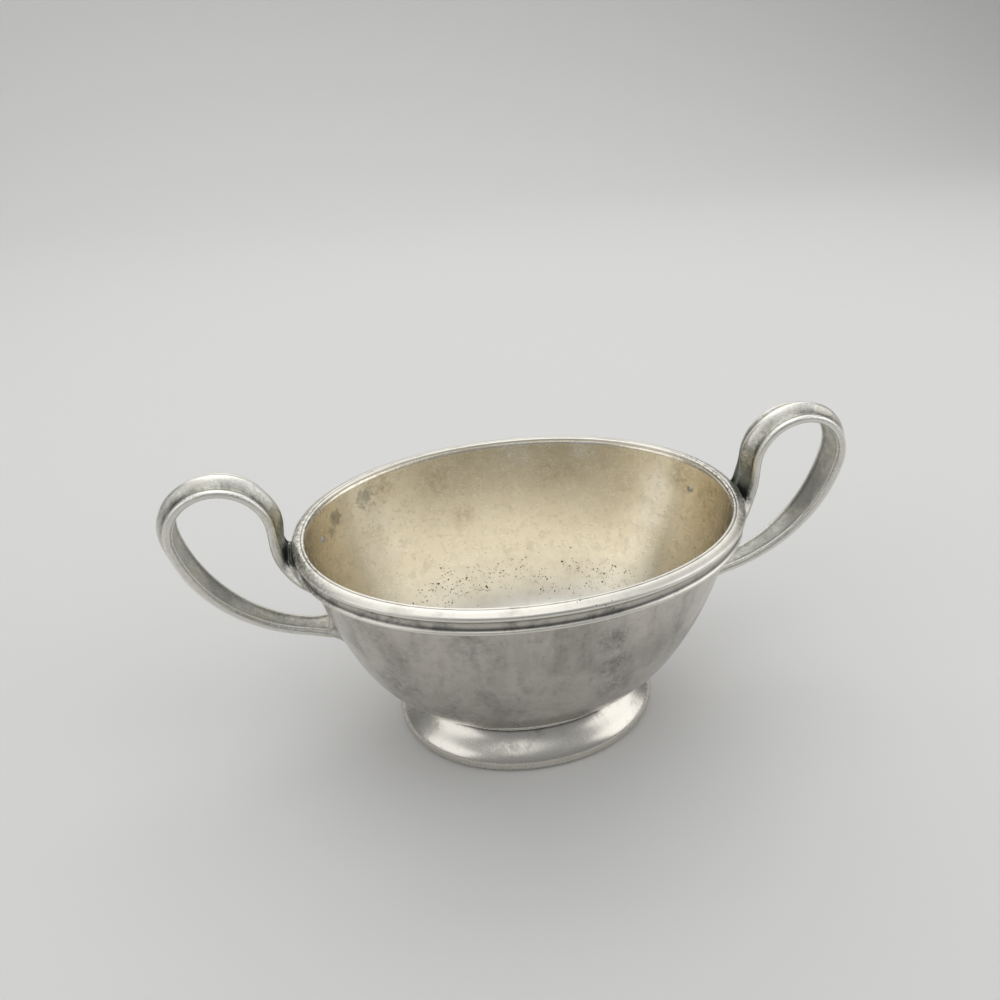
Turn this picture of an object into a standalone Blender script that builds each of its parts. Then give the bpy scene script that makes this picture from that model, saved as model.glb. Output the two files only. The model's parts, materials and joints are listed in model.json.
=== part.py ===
"""Two-handled oval bowl in plated metal, soldered up from drawn, moulded and cast pieces.

A thin drawn body with a flat floor stands on a hollow spreading foot. A moulded wire hooks over
its mouth, and a cast strap handle is soldered to each end, at the rim and again low on the wall.
X runs through both handles, Y across the bowl, Z up, and the origin is the middle of the foot's
base. Sizes are in millimetres, and meshes are made in metres.
"""

import math
from typing import NamedTuple

import bmesh
import bpy
from mathutils import Vector
from mathutils.geometry import interpolate_bezier

MM = 0.001

# Plan: every level of the bowl is an oval, a little fuller than an ellipse
OVAL_FULLNESS = 2.06
OVAL_STEPS = 64

# Moulded rim
RIM_HALF_LENGTH = 60.0
RIM_HALF_WIDTH = 43.4
RIM_TOP = 65.3
LIP_WIDTH = 3.3
LIP_HEIGHT = 0.8
LIP_EDGE = 0.4
LIP_FALL = 0.55
NOSE_RADIUS = 0.9
NOSE_STEPS = 3
RIM_HEIGHT = 6.1
COVE_REACH = 1.6
COVE_STEPS = 4
RIM_BEAD_RADIUS = 0.55
RIM_BEAD_INSET = 0.35
BEAD_WRAP = 60.0
BEAD_STEPS = 3

# Drawn body
WALL = 1.2
FLOOR_UNDERSIDE = 10.0
FLOOR_HALF_LENGTH = 19.0
FLOOR_HALF_WIDTH = 15.5
WALL_STRAIGHTNESS = 1.225
BELLY_FULLNESS = 3.05
BODY_ROWS = 12
ROW_CROWDING = 2.2

# Spreading foot
FOOT_HALF_LENGTH = 37.6
FOOT_HALF_WIDTH = 30.2
FOOT_EDGE_RADIUS = 1.6
FOOT_EDGE_TURN = 90.0
FOOT_EDGE_STEPS = 3
FOOT_WALL = 1.4
FOOT_BASE_FLAT = 1.6
COLLAR_INSET = 6.0
COLLAR_BEAD_RADIUS = 0.45
SHOULDER_RISE = 3.0
NECK_SWEEP = 1.6
NECK_DROP = 3.0
OGEE_STEPS = 6

# Cast strap handles: the line of the strap's outside face, seen along Y
RISER_STANDOFF = 2.6
SPRING_ABOVE_RIM = 6.5
LOOP_RADIUS = 13.4
LOOP_OVERRUN = 8.6
SWEEP_RADIUS = 40.0
RISER_RADIUS = 34.0
RISER_LEAN = 14.1
ROOT_RADIUS = 8.0
ROOT_TURN = 52.0
LOWER_ROOT_REACH = 7.0
ROOT_DEPTH = 3.0
LANDING_STEP = 0.5
ROOT_STEPS = 6
RISER_STEPS = 4
LOOP_STEPS = 18
SWEEP_STEPS = 8
LOWER_ROOT_STEPS = 5

# Strap widths along Y and thicknesses
STRAP_WIDTH = 10.5
SWEEP_WIDTH = 7.3
FAN_WIDTH = 26.0
FAN_NECK_WIDTH = 11.2
LOWER_ROOT_WIDTH = 11.2
STRAP_THICKNESS = 2.2
RISER_THICKNESS = 2.2
FAN_THICKNESS = 2.8
FAN_EDGE_THICKNESS = 1.0
LOWER_ROOT_THICKNESS = 2.5
EDGE_ROUNDING = 0.42
CORNER_CUT = 0.3
TROUGH_INSET = 1.6
TROUGH_SHARE = 0.37
TROUGH_DEPTH = 0.25
LOOP_CROWN = 1.8
SWEEP_CROWN = 1.0
ROOT_CROWN = 0.5
CREST_HALF_WIDTH = 0.3
CROWN_SHARES = (0.35, 0.7, 1.0)
INNER_HOLLOW = 0.25
FAN_HUG = 0.45

# Solder and fits
JOINT_GAP = 0.3
SOLDER_FILM = 0.7
SOLDER_PROUD = 0.5
SEAM_LEG = 1.3

SILVER = (0.72, 0.69, 0.62, 1.0)
HANDLE_SILVER = (0.66, 0.65, 0.60, 1.0)
SOLDER_GREY = (0.20, 0.21, 0.20, 1.0)

MOUTH_HALF_LENGTH = RIM_HALF_LENGTH - LIP_WIDTH
MOUTH_HALF_WIDTH = RIM_HALF_WIDTH - LIP_WIDTH
RIM_UNDERSIDE = RIM_TOP - RIM_HEIGHT
BODY_TOP = RIM_TOP - LIP_HEIGHT
SPRING_HEIGHT = RIM_TOP + SPRING_ABOVE_RIM


def clear_scene():
    """Remove every object that the file opened with."""
    for item in list(bpy.data.objects):
        bpy.data.objects.remove(item, do_unlink=True)


def metal(name, colour, roughness):
    """Make a metal material of one colour."""
    material = bpy.data.materials.new(name)
    material.use_nodes = True
    shader = material.node_tree.nodes["Principled BSDF"]
    shader.inputs["Base Color"].default_value = colour
    shader.inputs["Metallic"].default_value = 1.0
    shader.inputs["Roughness"].default_value = roughness
    return material


def signed_power(value, power):
    """Raise the size of a value to a power and keep its sign."""
    return math.copysign(abs(value) ** power, value)


def oval(half_length, half_width, outset, height):
    """Give one level's oval ring, set out along its own normals."""
    ring = []
    for step in range(OVAL_STEPS):
        angle = 2.0 * math.pi * step / OVAL_STEPS
        along, across = math.cos(angle), math.sin(angle)
        point = Vector((half_length * signed_power(along, 2.0 / OVAL_FULLNESS),
                        half_width * signed_power(across, 2.0 / OVAL_FULLNESS), 0.0))
        normal = Vector((signed_power(along, 2.0 - 2.0 / OVAL_FULLNESS) / half_length,
                         signed_power(across, 2.0 - 2.0 / OVAL_FULLNESS) / half_width, 0.0))
        ring.append(point + normal.normalized() * outset + Vector((0.0, 0.0, height)))
    return ring


def body_share(height):
    """Give how far out the wall stands at a height: 0 at the floor, 1 at the mouth."""
    climb = min(max((height - FLOOR_UNDERSIDE) / (BODY_TOP - FLOOR_UNDERSIDE), 0.0), 1.0)
    return (1.0 - (1.0 - climb) ** WALL_STRAIGHTNESS) ** (1.0 / BELLY_FULLNESS)


def body_halves(share):
    """Give the outer half length and half width of the body at a share of its spread."""
    top_length = MOUTH_HALF_LENGTH + WALL
    top_width = MOUTH_HALF_WIDTH + WALL
    return (FLOOR_HALF_LENGTH + (top_length - FLOOR_HALF_LENGTH) * share,
            FLOOR_HALF_WIDTH + (top_width - FLOOR_HALF_WIDTH) * share)


def body_ring(height, outset):
    """Give the ring that stands a distance outside the body at a height."""
    half_length, half_width = body_halves(body_share(height))
    return oval(half_length, half_width, outset, height)


def belly_height(point):
    """Give the height of the body's outer surface straight above a point of the plan."""
    low, high = 0.0, 1.0
    for _ in range(40):
        share = 0.5 * (low + high)
        half_length, half_width = body_halves(share)
        reach = (abs(point.x / half_length) ** OVAL_FULLNESS
                 + abs(point.y / half_width) ** OVAL_FULLNESS)
        if reach > 1.0:
            low = share
        else:
            high = share
    climb = 1.0 - (1.0 - high ** BELLY_FULLNESS) ** (1.0 / WALL_STRAIGHTNESS)
    return FLOOR_UNDERSIDE + (BODY_TOP - FLOOR_UNDERSIDE) * climb


def under_belly(ring, drop):
    """Set a ring's points a distance below the belly."""
    return [Vector((point.x, point.y, belly_height(point) - drop)) for point in ring]


def arc(centre, radius, start, end, steps):
    """Give the points of an arc in a plane, from one angle in degrees to another."""
    points = []
    for step in range(steps + 1):
        angle = math.radians(start + (end - start) * step / steps)
        points.append((centre[0] + radius * math.cos(angle), centre[1] + radius * math.sin(angle)))
    return points


def bezier(first, second, third, fourth, steps):
    """Give the points of a cubic curve in a plane."""
    corners = [Vector((x, z, 0.0)) for x, z in (first, second, third, fourth)]
    return [(point.x, point.y) for point in interpolate_bezier(*corners, steps + 1)]


def loft(name, rings, closed):
    """Skin a row of rings into one closed body, capped at both ends unless the row is closed."""
    mesh = bmesh.new()
    rows = [[mesh.verts.new(point * MM) for point in ring] for ring in rings]
    count = len(rows[0])
    pairs = list(zip(rows, rows[1:]))
    if closed:
        pairs.append((rows[-1], rows[0]))
    else:
        mesh.faces.new(list(reversed(rows[0])))
        mesh.faces.new(rows[-1])
    for near, far in pairs:
        for step in range(count):
            after = (step + 1) % count
            mesh.faces.new((near[step], near[after], far[after], far[step]))
    bmesh.ops.recalc_face_normals(mesh, faces=mesh.faces)
    data = bpy.data.meshes.new(name)
    mesh.to_mesh(data)
    mesh.free()
    item = bpy.data.objects.new(name, data)
    bpy.context.scene.collection.objects.link(item)
    return item


def finish(item, material):
    """Give a piece its material and smooth shading with crisp edges."""
    item.data.materials.append(material)
    item.data.shade_smooth()
    item.data.set_sharp_from_angle(angle=math.radians(40.0))
    return item


def make_body(material):
    """Draw the bowl: an outer skin from the floor to the mouth, and the inner skin back down."""
    outer = []
    inner = []
    for row in range(BODY_ROWS + 1):
        climb = (row / BODY_ROWS) ** ROW_CROWDING
        height = FLOOR_UNDERSIDE + (BODY_TOP - FLOOR_UNDERSIDE) * climb
        half_length, half_width = body_halves(body_share(height))
        lifted = height + WALL * (1.0 - climb)
        outer.append(oval(half_length, half_width, 0.0, height))
        inner.append(oval(half_length, half_width, -WALL, lifted))
    return finish(loft("bowl_body", outer + inner[::-1], False), material)


def make_rim(material):
    """Sweep the rim moulding round the mouth: lip, cove and bead, hooked over the body's edge."""
    lip_base = BODY_TOP + JOINT_GAP
    nose_middle = (LIP_WIDTH - NOSE_RADIUS, RIM_TOP - LIP_FALL - NOSE_RADIUS)
    fall = math.degrees(math.atan2(LIP_FALL, nose_middle[0] - LIP_EDGE))
    nose = arc(nose_middle, NOSE_RADIUS, 90.0 - fall, 0.0, NOSE_STEPS)
    lip = [(0.0, lip_base), (LIP_EDGE, RIM_TOP)] + nose
    bead_middle = (LIP_WIDTH - RIM_BEAD_INSET - RIM_BEAD_RADIUS, RIM_UNDERSIDE + RIM_BEAD_RADIUS)
    bead = arc(bead_middle, RIM_BEAD_RADIUS, BEAD_WRAP, -90.0, BEAD_STEPS)
    hollow = LIP_WIDTH - COVE_REACH
    cove = bezier(nose[-1], (hollow, nose[-1][1]), (hollow, bead[0][1]), bead[0], COVE_STEPS)
    rings = [oval(MOUTH_HALF_LENGTH, MOUTH_HALF_WIDTH, out, height)
             for out, height in lip + cove[1:-1] + bead]
    rings.append(body_ring(RIM_UNDERSIDE, JOINT_GAP))
    rings.append(body_ring(BODY_TOP, JOINT_GAP))
    rings[-1] = [Vector((point.x, point.y, lip_base)) for point in rings[-1]]
    return finish(loft("rim_band", rings, True), material)


def foot_collar_height():
    """Give the lowest height of the belly over the outside of the foot's collar."""
    collar = oval(FOOT_HALF_LENGTH, FOOT_HALF_WIDTH, -COLLAR_INSET, 0.0)
    return min(belly_height(point) for point in collar)


def make_foot(material):
    """Sweep the hollow foot: rounded edge, ogee flank and a beaded collar under the belly."""
    collar_top = foot_collar_height() - JOINT_GAP
    edge_middle = (-FOOT_EDGE_RADIUS, FOOT_EDGE_RADIUS)
    edge = arc(edge_middle, FOOT_EDGE_RADIUS, -90.0, FOOT_EDGE_TURN - 90.0, FOOT_EDGE_STEPS)
    neck = (-COLLAR_INSET - COLLAR_BEAD_RADIUS, collar_top - 3.0 * COLLAR_BEAD_RADIUS)
    shoulder = edge[-1]
    flank = bezier(shoulder, (shoulder[0], shoulder[1] + SHOULDER_RISE),
                   (neck[0] + NECK_SWEEP, neck[1] - NECK_DROP), neck, OGEE_STEPS)
    bead_middle = (neck[0], collar_top - 1.5 * COLLAR_BEAD_RADIUS)
    bead = arc(bead_middle, COLLAR_BEAD_RADIUS, -BEAD_WRAP, BEAD_WRAP, BEAD_STEPS)
    base_inner = -FOOT_EDGE_RADIUS - FOOT_BASE_FLAT
    inside = [(min(out - FOOT_WALL, base_inner), height - 0.5 * FOOT_WALL) for out, height in flank[::-1]]

    def ring(out, height):
        return oval(FOOT_HALF_LENGTH, FOOT_HALF_WIDTH, out, height)

    rings = [ring(out, height) for out, height in edge + flank[1:] + bead]
    rings.append(under_belly(ring(neck[0], 0.0), JOINT_GAP))
    rings.append(under_belly(ring(neck[0] - FOOT_WALL, 0.0), JOINT_GAP))
    rings.extend(ring(out, height) for out, height in inside)
    rings.append(ring(base_inner, 0.0))
    return finish(loft("foot_ring", rings, True), material)


def make_foot_seam(material):
    """Run the solder fillet round the inside of the collar, in the corner under the belly."""
    out = -COLLAR_INSET - COLLAR_BEAD_RADIUS - FOOT_WALL - JOINT_GAP
    corner = oval(FOOT_HALF_LENGTH, FOOT_HALF_WIDTH, out, 0.0)
    toe = oval(FOOT_HALF_LENGTH, FOOT_HALF_WIDTH, out - SEAM_LEG, 0.0)
    rings = [under_belly(corner, JOINT_GAP), under_belly(corner, JOINT_GAP + SEAM_LEG),
             under_belly(toe, JOINT_GAP)]
    return finish(loft("foot_solder_seam", rings, True), material)


def make_rim_seam(material):
    """Run the solder fillet round the outside of the body, in the corner under the rim bead."""
    top = RIM_UNDERSIDE - JOINT_GAP
    rings = [body_ring(top, JOINT_GAP), body_ring(top, JOINT_GAP + SEAM_LEG),
             body_ring(top - SEAM_LEG, JOINT_GAP)]
    return finish(loft("rim_solder_seam", rings, True), material)


def make_envelope(name, outset):
    """Make the solid that the handles' roots are fitted to: body and rim, set out all round."""
    foot_level = FLOOR_UNDERSIDE + WALL
    chamfer_foot = RIM_UNDERSIDE - 2.0 * SEAM_LEG
    heights = [foot_level + (chamfer_foot - foot_level) * (row / BODY_ROWS) ** ROW_CROWDING
               for row in range(BODY_ROWS + 1)]
    rings = [body_ring(height, outset) for height in heights]
    for height in (RIM_UNDERSIDE, RIM_TOP + outset):
        rings.append(oval(RIM_HALF_LENGTH, RIM_HALF_WIDTH, outset, height))
    cutter = loft(name, rings, False)
    cutter.hide_render = True
    cutter.display_type = "WIRE"
    return cutter


def smooth_step(share):
    """Ease a share between 0 and 1."""
    return share * share * (3.0 - 2.0 * share)


def blend(pair, share):
    """Give the value a share of the way from a pair's first to its second."""
    return pair[0] + (pair[1] - pair[0]) * share


class Stretch(NamedTuple):
    """One arc of the strap's line, in degrees, with its sizes and its hug of the rim at both ends."""

    centre: tuple
    radius: float
    start: float
    end: float
    steps: int
    widths: tuple
    thicknesses: tuple
    crowns: tuple
    hugs: tuple = (0.0, 0.0)


def handle_stretches():
    """Give the strap's stretches from the upper root to the lower one."""
    riser_x = RIM_HALF_LENGTH + RISER_STANDOFF
    riser_centre = (riser_x - RISER_RADIUS, SPRING_HEIGHT)
    root_join = arc(riser_centre, RISER_RADIUS, -RISER_LEAN, 0.0, 1)[0]
    lean = math.radians(RISER_LEAN)
    root_centre = (root_join[0] - ROOT_RADIUS * math.cos(lean),
                   root_join[1] + ROOT_RADIUS * math.sin(lean))
    loop_centre = (riser_x + LOOP_RADIUS, SPRING_HEIGHT)
    overrun = math.radians(LOOP_OVERRUN)
    back_off = LOOP_RADIUS - SWEEP_RADIUS
    sweep_centre = (loop_centre[0] + back_off * math.cos(overrun),
                    loop_centre[1] - back_off * math.sin(overrun))
    landing = sweep_landing(sweep_centre)
    root_angle = math.degrees(LOWER_ROOT_REACH / SWEEP_RADIUS)
    return [
        Stretch(root_centre, ROOT_RADIUS, -RISER_LEAN - ROOT_TURN, -RISER_LEAN, ROOT_STEPS,
                (FAN_WIDTH, FAN_NECK_WIDTH), (FAN_EDGE_THICKNESS, FAN_THICKNESS),
                (ROOT_CROWN, ROOT_CROWN), (1.0, FAN_HUG)),
        Stretch(riser_centre, RISER_RADIUS, -RISER_LEAN, 0.0, RISER_STEPS,
                (FAN_NECK_WIDTH, STRAP_WIDTH), (FAN_THICKNESS, RISER_THICKNESS),
                (ROOT_CROWN, LOOP_CROWN), (FAN_HUG, 0.0)),
        Stretch(loop_centre, LOOP_RADIUS, 180.0, -LOOP_OVERRUN, LOOP_STEPS,
                (STRAP_WIDTH, STRAP_WIDTH), (RISER_THICKNESS, STRAP_THICKNESS),
                (LOOP_CROWN, LOOP_CROWN)),
        Stretch(sweep_centre, SWEEP_RADIUS, -LOOP_OVERRUN, landing + root_angle, SWEEP_STEPS,
                (STRAP_WIDTH, SWEEP_WIDTH), (STRAP_THICKNESS, STRAP_THICKNESS),
                (LOOP_CROWN, SWEEP_CROWN)),
        Stretch(sweep_centre, SWEEP_RADIUS, landing + root_angle, landing, LOWER_ROOT_STEPS,
                (SWEEP_WIDTH, LOWER_ROOT_WIDTH), (STRAP_THICKNESS, LOWER_ROOT_THICKNESS),
                (SWEEP_CROWN, ROOT_CROWN)),
    ]


def sweep_landing(centre):
    """Give the angle at which the sweep's line has run a root's depth into the wall."""
    angle = -LOOP_OVERRUN
    while True:
        x, z = arc(centre, SWEEP_RADIUS, angle, angle, 1)[0]
        wall_x = body_halves(body_share(z))[0]
        if x < wall_x - ROOT_DEPTH:
            return angle
        angle -= LANDING_STEP


def crown_height(crown, share):
    """Give how high the strap's face stands over its beads, from the crest to the trough beside them."""
    return 0.5 * (crown + TROUGH_DEPTH) * (1.0 + math.cos(math.pi * share)) - TROUGH_DEPTH


def strap_section(width, thickness, crown):
    """Give the strap's section as (across, outward) points: a crowned face between rounded beads."""
    half = width / 2.0
    trough = half - min(TROUGH_INSET, TROUGH_SHARE * half)
    rounding = EDGE_ROUNDING * thickness
    corner = CORNER_CUT * rounding
    side = [(share * trough, crown_height(crown, share)) for share in CROWN_SHARES]
    side += [(half - rounding, 0.0), (half - corner, -corner),
             (half, -rounding), (half, rounding - thickness), (half - corner, corner - thickness),
             (half - rounding, -thickness), (0.5 * half, INNER_HOLLOW - thickness)]
    side.insert(0, (CREST_HALF_WIDTH, crown))
    return side + [(-across, outward) for across, outward in side[::-1]]


def rim_recess(across):
    """Give how far the rim has curved back at a distance across from the long axis."""
    share = min(abs(across) / RIM_HALF_WIDTH, 1.0)
    return RIM_HALF_LENGTH * (1.0 - (1.0 - share ** OVAL_FULLNESS) ** (1.0 / OVAL_FULLNESS))


def sweep_strap(name, side, stretches, grow):
    """Sweep the strap along some stretches at one end of the bowl, grown all round by a margin."""
    stations = []
    for stretch in stretches:
        line = arc(stretch.centre, stretch.radius, stretch.start, stretch.end, stretch.steps)
        for step, (x, z) in enumerate(line):
            ease = smooth_step(step / stretch.steps)
            sizes = [blend(pair, ease) for pair in (stretch.widths, stretch.thicknesses,
                                                    stretch.crowns, stretch.hugs)]
            if step or not stations:
                stations.append((Vector((x, 0.0, z)), *sizes))
    rings = []
    for index, (point, width, thickness, crown, hug) in enumerate(stations):
        before = stations[max(index - 1, 0)][0]
        after = stations[min(index + 1, len(stations) - 1)][0]
        tangent = (after - before).normalized()
        outward = Vector((-tangent.z, 0.0, tangent.x))
        section = strap_section(width + 2.0 * grow, thickness + 2.0 * grow, crown)
        ring = []
        for across, lift in section:
            spot = point + outward * (lift + grow)
            ring.append(Vector((side * (spot.x - hug * rim_recess(across)), across, spot.z)))
        rings.append(ring)
    return loft(name, rings, False)


def cut(item, operation, tool):
    """Add an exact Boolean with a cutter."""
    modifier = item.modifiers.new(operation.lower(), "BOOLEAN")
    modifier.operation = operation
    modifier.solver = "EXACT"
    modifier.object = tool


def make_handle(word, side, silver, solder, films):
    """Make one handle and the two films of solder that hold its roots to the bowl."""
    film_inside, film_outside, root_face = films
    stretches = handle_stretches()
    handle = finish(sweep_strap(f"{word}_handle", side, stretches, 0.0), silver)
    cut(handle, "DIFFERENCE", root_face)
    for place, root in (("upper", stretches[:2]), ("lower", stretches[-1:])):
        film = finish(sweep_strap(f"{word}_{place}_solder", side, root, SOLDER_PROUD), solder)
        cut(film, "INTERSECT", film_outside)
        cut(film, "DIFFERENCE", film_inside)


def main():
    """Build every piece of the bowl."""
    clear_scene()
    silver = metal("worn_silver_plate", SILVER, 0.28)
    handle_silver = metal("cast_handle_silver", HANDLE_SILVER, 0.34)
    solder = metal("dark_solder", SOLDER_GREY, 0.55)
    make_body(silver)
    make_rim(silver)
    make_foot(silver)
    make_foot_seam(solder)
    make_rim_seam(solder)
    films = (make_envelope("film_inside_cutter", JOINT_GAP),
             make_envelope("film_outside_cutter", JOINT_GAP + SOLDER_FILM),
             make_envelope("root_face_cutter", 2.0 * JOINT_GAP + SOLDER_FILM))
    for word, side in (("left", -1.0), ("right", 1.0)):
        make_handle(word, side, handle_silver, solder, films)


main()
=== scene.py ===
"""Looks of a two-handled oval bowl in worn silver plate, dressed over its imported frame.

X runs through both handles, Y across the bowl and Z up. Lengths are millimetres until a mesh is
made, and every mesh is in metres. The main sizes are read from the frame's own boxes.
"""

import json
import logging
import math
from dataclasses import dataclass, field
from enum import Enum
from typing import NamedTuple

import bpy
import numpy as np
from mathutils import Matrix, Vector, noise
from mathutils.geometry import interpolate_bezier

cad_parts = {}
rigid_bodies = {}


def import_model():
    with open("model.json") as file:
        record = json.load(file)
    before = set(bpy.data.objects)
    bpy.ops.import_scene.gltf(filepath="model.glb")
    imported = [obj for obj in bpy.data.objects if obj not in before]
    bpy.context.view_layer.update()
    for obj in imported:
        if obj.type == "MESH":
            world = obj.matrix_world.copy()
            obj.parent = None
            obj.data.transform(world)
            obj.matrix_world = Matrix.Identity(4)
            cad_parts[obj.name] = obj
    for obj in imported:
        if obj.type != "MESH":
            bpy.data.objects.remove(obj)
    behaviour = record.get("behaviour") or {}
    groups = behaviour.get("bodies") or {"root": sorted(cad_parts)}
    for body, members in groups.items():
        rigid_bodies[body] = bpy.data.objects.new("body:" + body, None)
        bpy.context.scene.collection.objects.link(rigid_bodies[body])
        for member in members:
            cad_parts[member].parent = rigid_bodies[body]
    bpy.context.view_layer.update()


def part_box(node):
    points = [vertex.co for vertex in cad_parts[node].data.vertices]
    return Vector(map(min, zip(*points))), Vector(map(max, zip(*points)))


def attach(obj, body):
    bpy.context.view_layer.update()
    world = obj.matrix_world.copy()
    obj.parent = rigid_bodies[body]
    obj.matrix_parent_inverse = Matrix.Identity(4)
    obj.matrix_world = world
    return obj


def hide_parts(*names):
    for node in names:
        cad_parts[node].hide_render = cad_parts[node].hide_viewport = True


LOG = logging.getLogger("bowl")
MM = 0.001
BODY = "root"

Colour = tuple[float, float, float, float]
Line = list[tuple[float, float]]
Socket = bpy.types.NodeSocket
Feed = Socket | float | Colour | tuple[float, float, float]


class End(Enum):
    """The two ends of the bowl, with the sign of X there."""

    LEFT = -1.0
    RIGHT = 1.0


class Slot(Enum):
    """The record's material slots."""

    BODY = "body_plate"
    RIM = "rim_plate"
    FOOT = "foot_plate"
    HANDLE = "handle_plate"
    SOLDER = "solder"


class Trace(Enum):
    """What a piece's mesh remembers at each point for its finish."""

    # Hollows carry tarnish and painted crevice shade; ridges carry rubbed wear and a painted highlight.
    GROOVE = "groove"
    EDGE = "edge"
    ROOT = "root"
    INNER = "inner_face"


class Halves(NamedTuple):
    """Half length along X and half width along Y of an oval."""

    length: float
    width: float


class Box(NamedTuple):
    """A frame node's lowest and highest corners in millimetres."""

    low: Vector
    high: Vector


def frame_box(node: str) -> Box:
    """Read a node's box from the frame.

    Args:
        node: The node's name.

    Returns:
        Its corners in millimetres.
    """
    low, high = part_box(node)
    return Box(low / MM, high / MM)


def smooth_step(share: np.ndarray | float) -> np.ndarray | float:
    """Ease a share, held between 0 and 1."""
    held = np.clip(share, 0.0, 1.0)
    return held * held * (3.0 - 2.0 * held)


def arc(centre: tuple[float, float], radius: float, start: float, end: float, steps: int) -> Line:
    """Give the points of an arc in a plane.

    Args:
        centre: The arc's centre.
        radius: Its radius.
        start: The first angle in degrees.
        end: The last angle in degrees.
        steps: How many stretches it is cut into.

    Returns:
        The points from start to end.
    """
    angles = np.radians(np.linspace(start, end, steps + 1))
    return [(centre[0] + radius * math.cos(a), centre[1] + radius * math.sin(a)) for a in angles]


def bezier(corners: Line, steps: int) -> Line:
    """Give the points of a cubic curve through its four corners' hull.

    Args:
        corners: The four control points.
        steps: How many stretches it is cut into.

    Returns:
        The points from the first corner to the last.
    """
    hull = [Vector((x, z, 0.0)) for x, z in corners]
    return [(point.x, point.y) for point in interpolate_bezier(*hull, steps + 1)]


def uneven(points: np.ndarray, normals: np.ndarray, depth: float, span: float, seed: float) -> np.ndarray:
    """Move points in and out a little, as hand finishing and wear leave a surface.

    Args:
        points: The points, one a row.
        normals: The directions that they move along.
        depth: The most that a point moves.
        span: The width of one swell.
        seed: Where in the noise this piece is read.

    Returns:
        The moved points.
    """
    offset = Vector((seed, 2.0 * seed, 3.0 * seed))
    lifts = np.array([noise.noise(Vector(point) / span + offset) for point in points])
    return points + normals * (depth * lifts)[:, None]


def relief(outline: np.ndarray, reach: float) -> np.ndarray:
    """Tell hollows from ridges round a closed outline.

    Args:
        outline: The outline's points, one a row.
        reach: How far along the outline each side is looked at.

    Returns:
        How far the outline beside each point stands out past it: above 0 in a hollow, below on a ridge.
    """
    loop = np.vstack((outline, outline[:1]))
    place = np.concatenate(([0.0], np.cumsum(np.linalg.norm(np.diff(loop, axis=0), axis=1))))

    def read(shift: float) -> np.ndarray:
        """Read the outline a distance past each of its points."""
        at = (place[:-1] + shift) % place[-1]
        return np.column_stack([np.interp(at, place, loop[:, axis]) for axis in range(2)])

    along = read(0.3 * reach) - read(-0.3 * reach)
    along /= np.maximum(np.linalg.norm(along, axis=1, keepdims=True), 1e-9)
    area = np.sum(loop[:-1, 0] * loop[1:, 1] - loop[1:, 0] * loop[:-1, 1])
    outward = np.sign(area) * np.column_stack((along[:, 1], -along[:, 0]))
    return np.sum((0.5 * (read(reach) + read(-reach)) - outline) * outward, axis=1)


def hollow_marks(outline: np.ndarray, reach: float = 0.55, depth: float = 0.16) -> dict[Trace, np.ndarray]:
    """Give how hollow and how exposed each point of a closed outline is, from 0 to 1: hollows get tarnish
    and painted shade, ridges get wear and painted highlights.
    """
    height = relief(outline, reach) / depth
    return {Trace.GROOVE: np.clip(height, 0.0, 1.0), Trace.EDGE: np.clip(-height, 0.0, 1.0)}


def mark(data: bpy.types.Mesh, marks: dict[Trace, np.ndarray]) -> None:
    """Store traces on a mesh's points.

    Args:
        data: The mesh.
        marks: Each trace's values, one a point.
    """
    for trace, values in marks.items():
        layer = data.attributes.new(trace.value, "FLOAT", "POINT")
        layer.data.foreach_set("value", np.asarray(values, np.float32).ravel())


def make_mesh(name: str, points: np.ndarray, faces: list[tuple[int, ...]]) -> bpy.types.Object:
    """Make a smooth closed mesh from points in millimetres.

    Args:
        name: The piece's name.
        points: The points, one a row.
        faces: The faces' point numbers.

    Returns:
        The new object, at the origin.
    """
    data = bpy.data.meshes.new(name)
    data.from_pydata([tuple(point) for point in points * MM], [], faces)
    data.validate()
    data.shade_smooth()
    item = bpy.data.objects.new(name, data)
    bpy.context.scene.collection.objects.link(item)
    return item


def skin_faces(rows: int, count: int, closed: bool) -> list[tuple[int, ...]]:
    """Give the faces between rows of ring points.

    Args:
        rows: How many rings there are.
        count: How many points each ring has.
        closed: Whether the last ring joins the first.

    Returns:
        The quads' point numbers.
    """
    pairs = [(row, row + 1) for row in range(rows - 1)]
    if closed:
        pairs.append((rows - 1, 0))
    faces = []
    for near, far in pairs:
        for step in range(count):
            after = (step + 1) % count
            faces.append((near * count + step, near * count + after,
                          far * count + after, far * count + step))
    return faces


def point_outwards(item: bpy.types.Object) -> None:
    """Turn a closed mesh's faces outwards if its volume comes out negative.

    Args:
        item: The piece.
    """
    data = item.data
    data.calc_loop_triangles()
    points = np.empty(len(data.vertices) * 3)
    data.vertices.foreach_get("co", points)
    points = points.reshape(-1, 3)
    corners = np.empty(len(data.loop_triangles) * 3, int)
    data.loop_triangles.foreach_get("vertices", corners)
    first, second, third = (points[corners.reshape(-1, 3)[:, corner]] for corner in range(3))
    if np.sum(np.cross(first, second) * third) < 0.0:
        data.flip_normals()


def settle(item: bpy.types.Object, slot: Slot, *nodes: str) -> None:
    """Set a finished piece on the frame in place of its nodes.

    Args:
        item: The piece.
        slot: The piece's material slot; not used.
        nodes: The frame's nodes that it stands for.
    """
    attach(item, BODY)
    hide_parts(*nodes)
    LOG.info("%s: %d faces", item.name, len(item.data.polygons))


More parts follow.
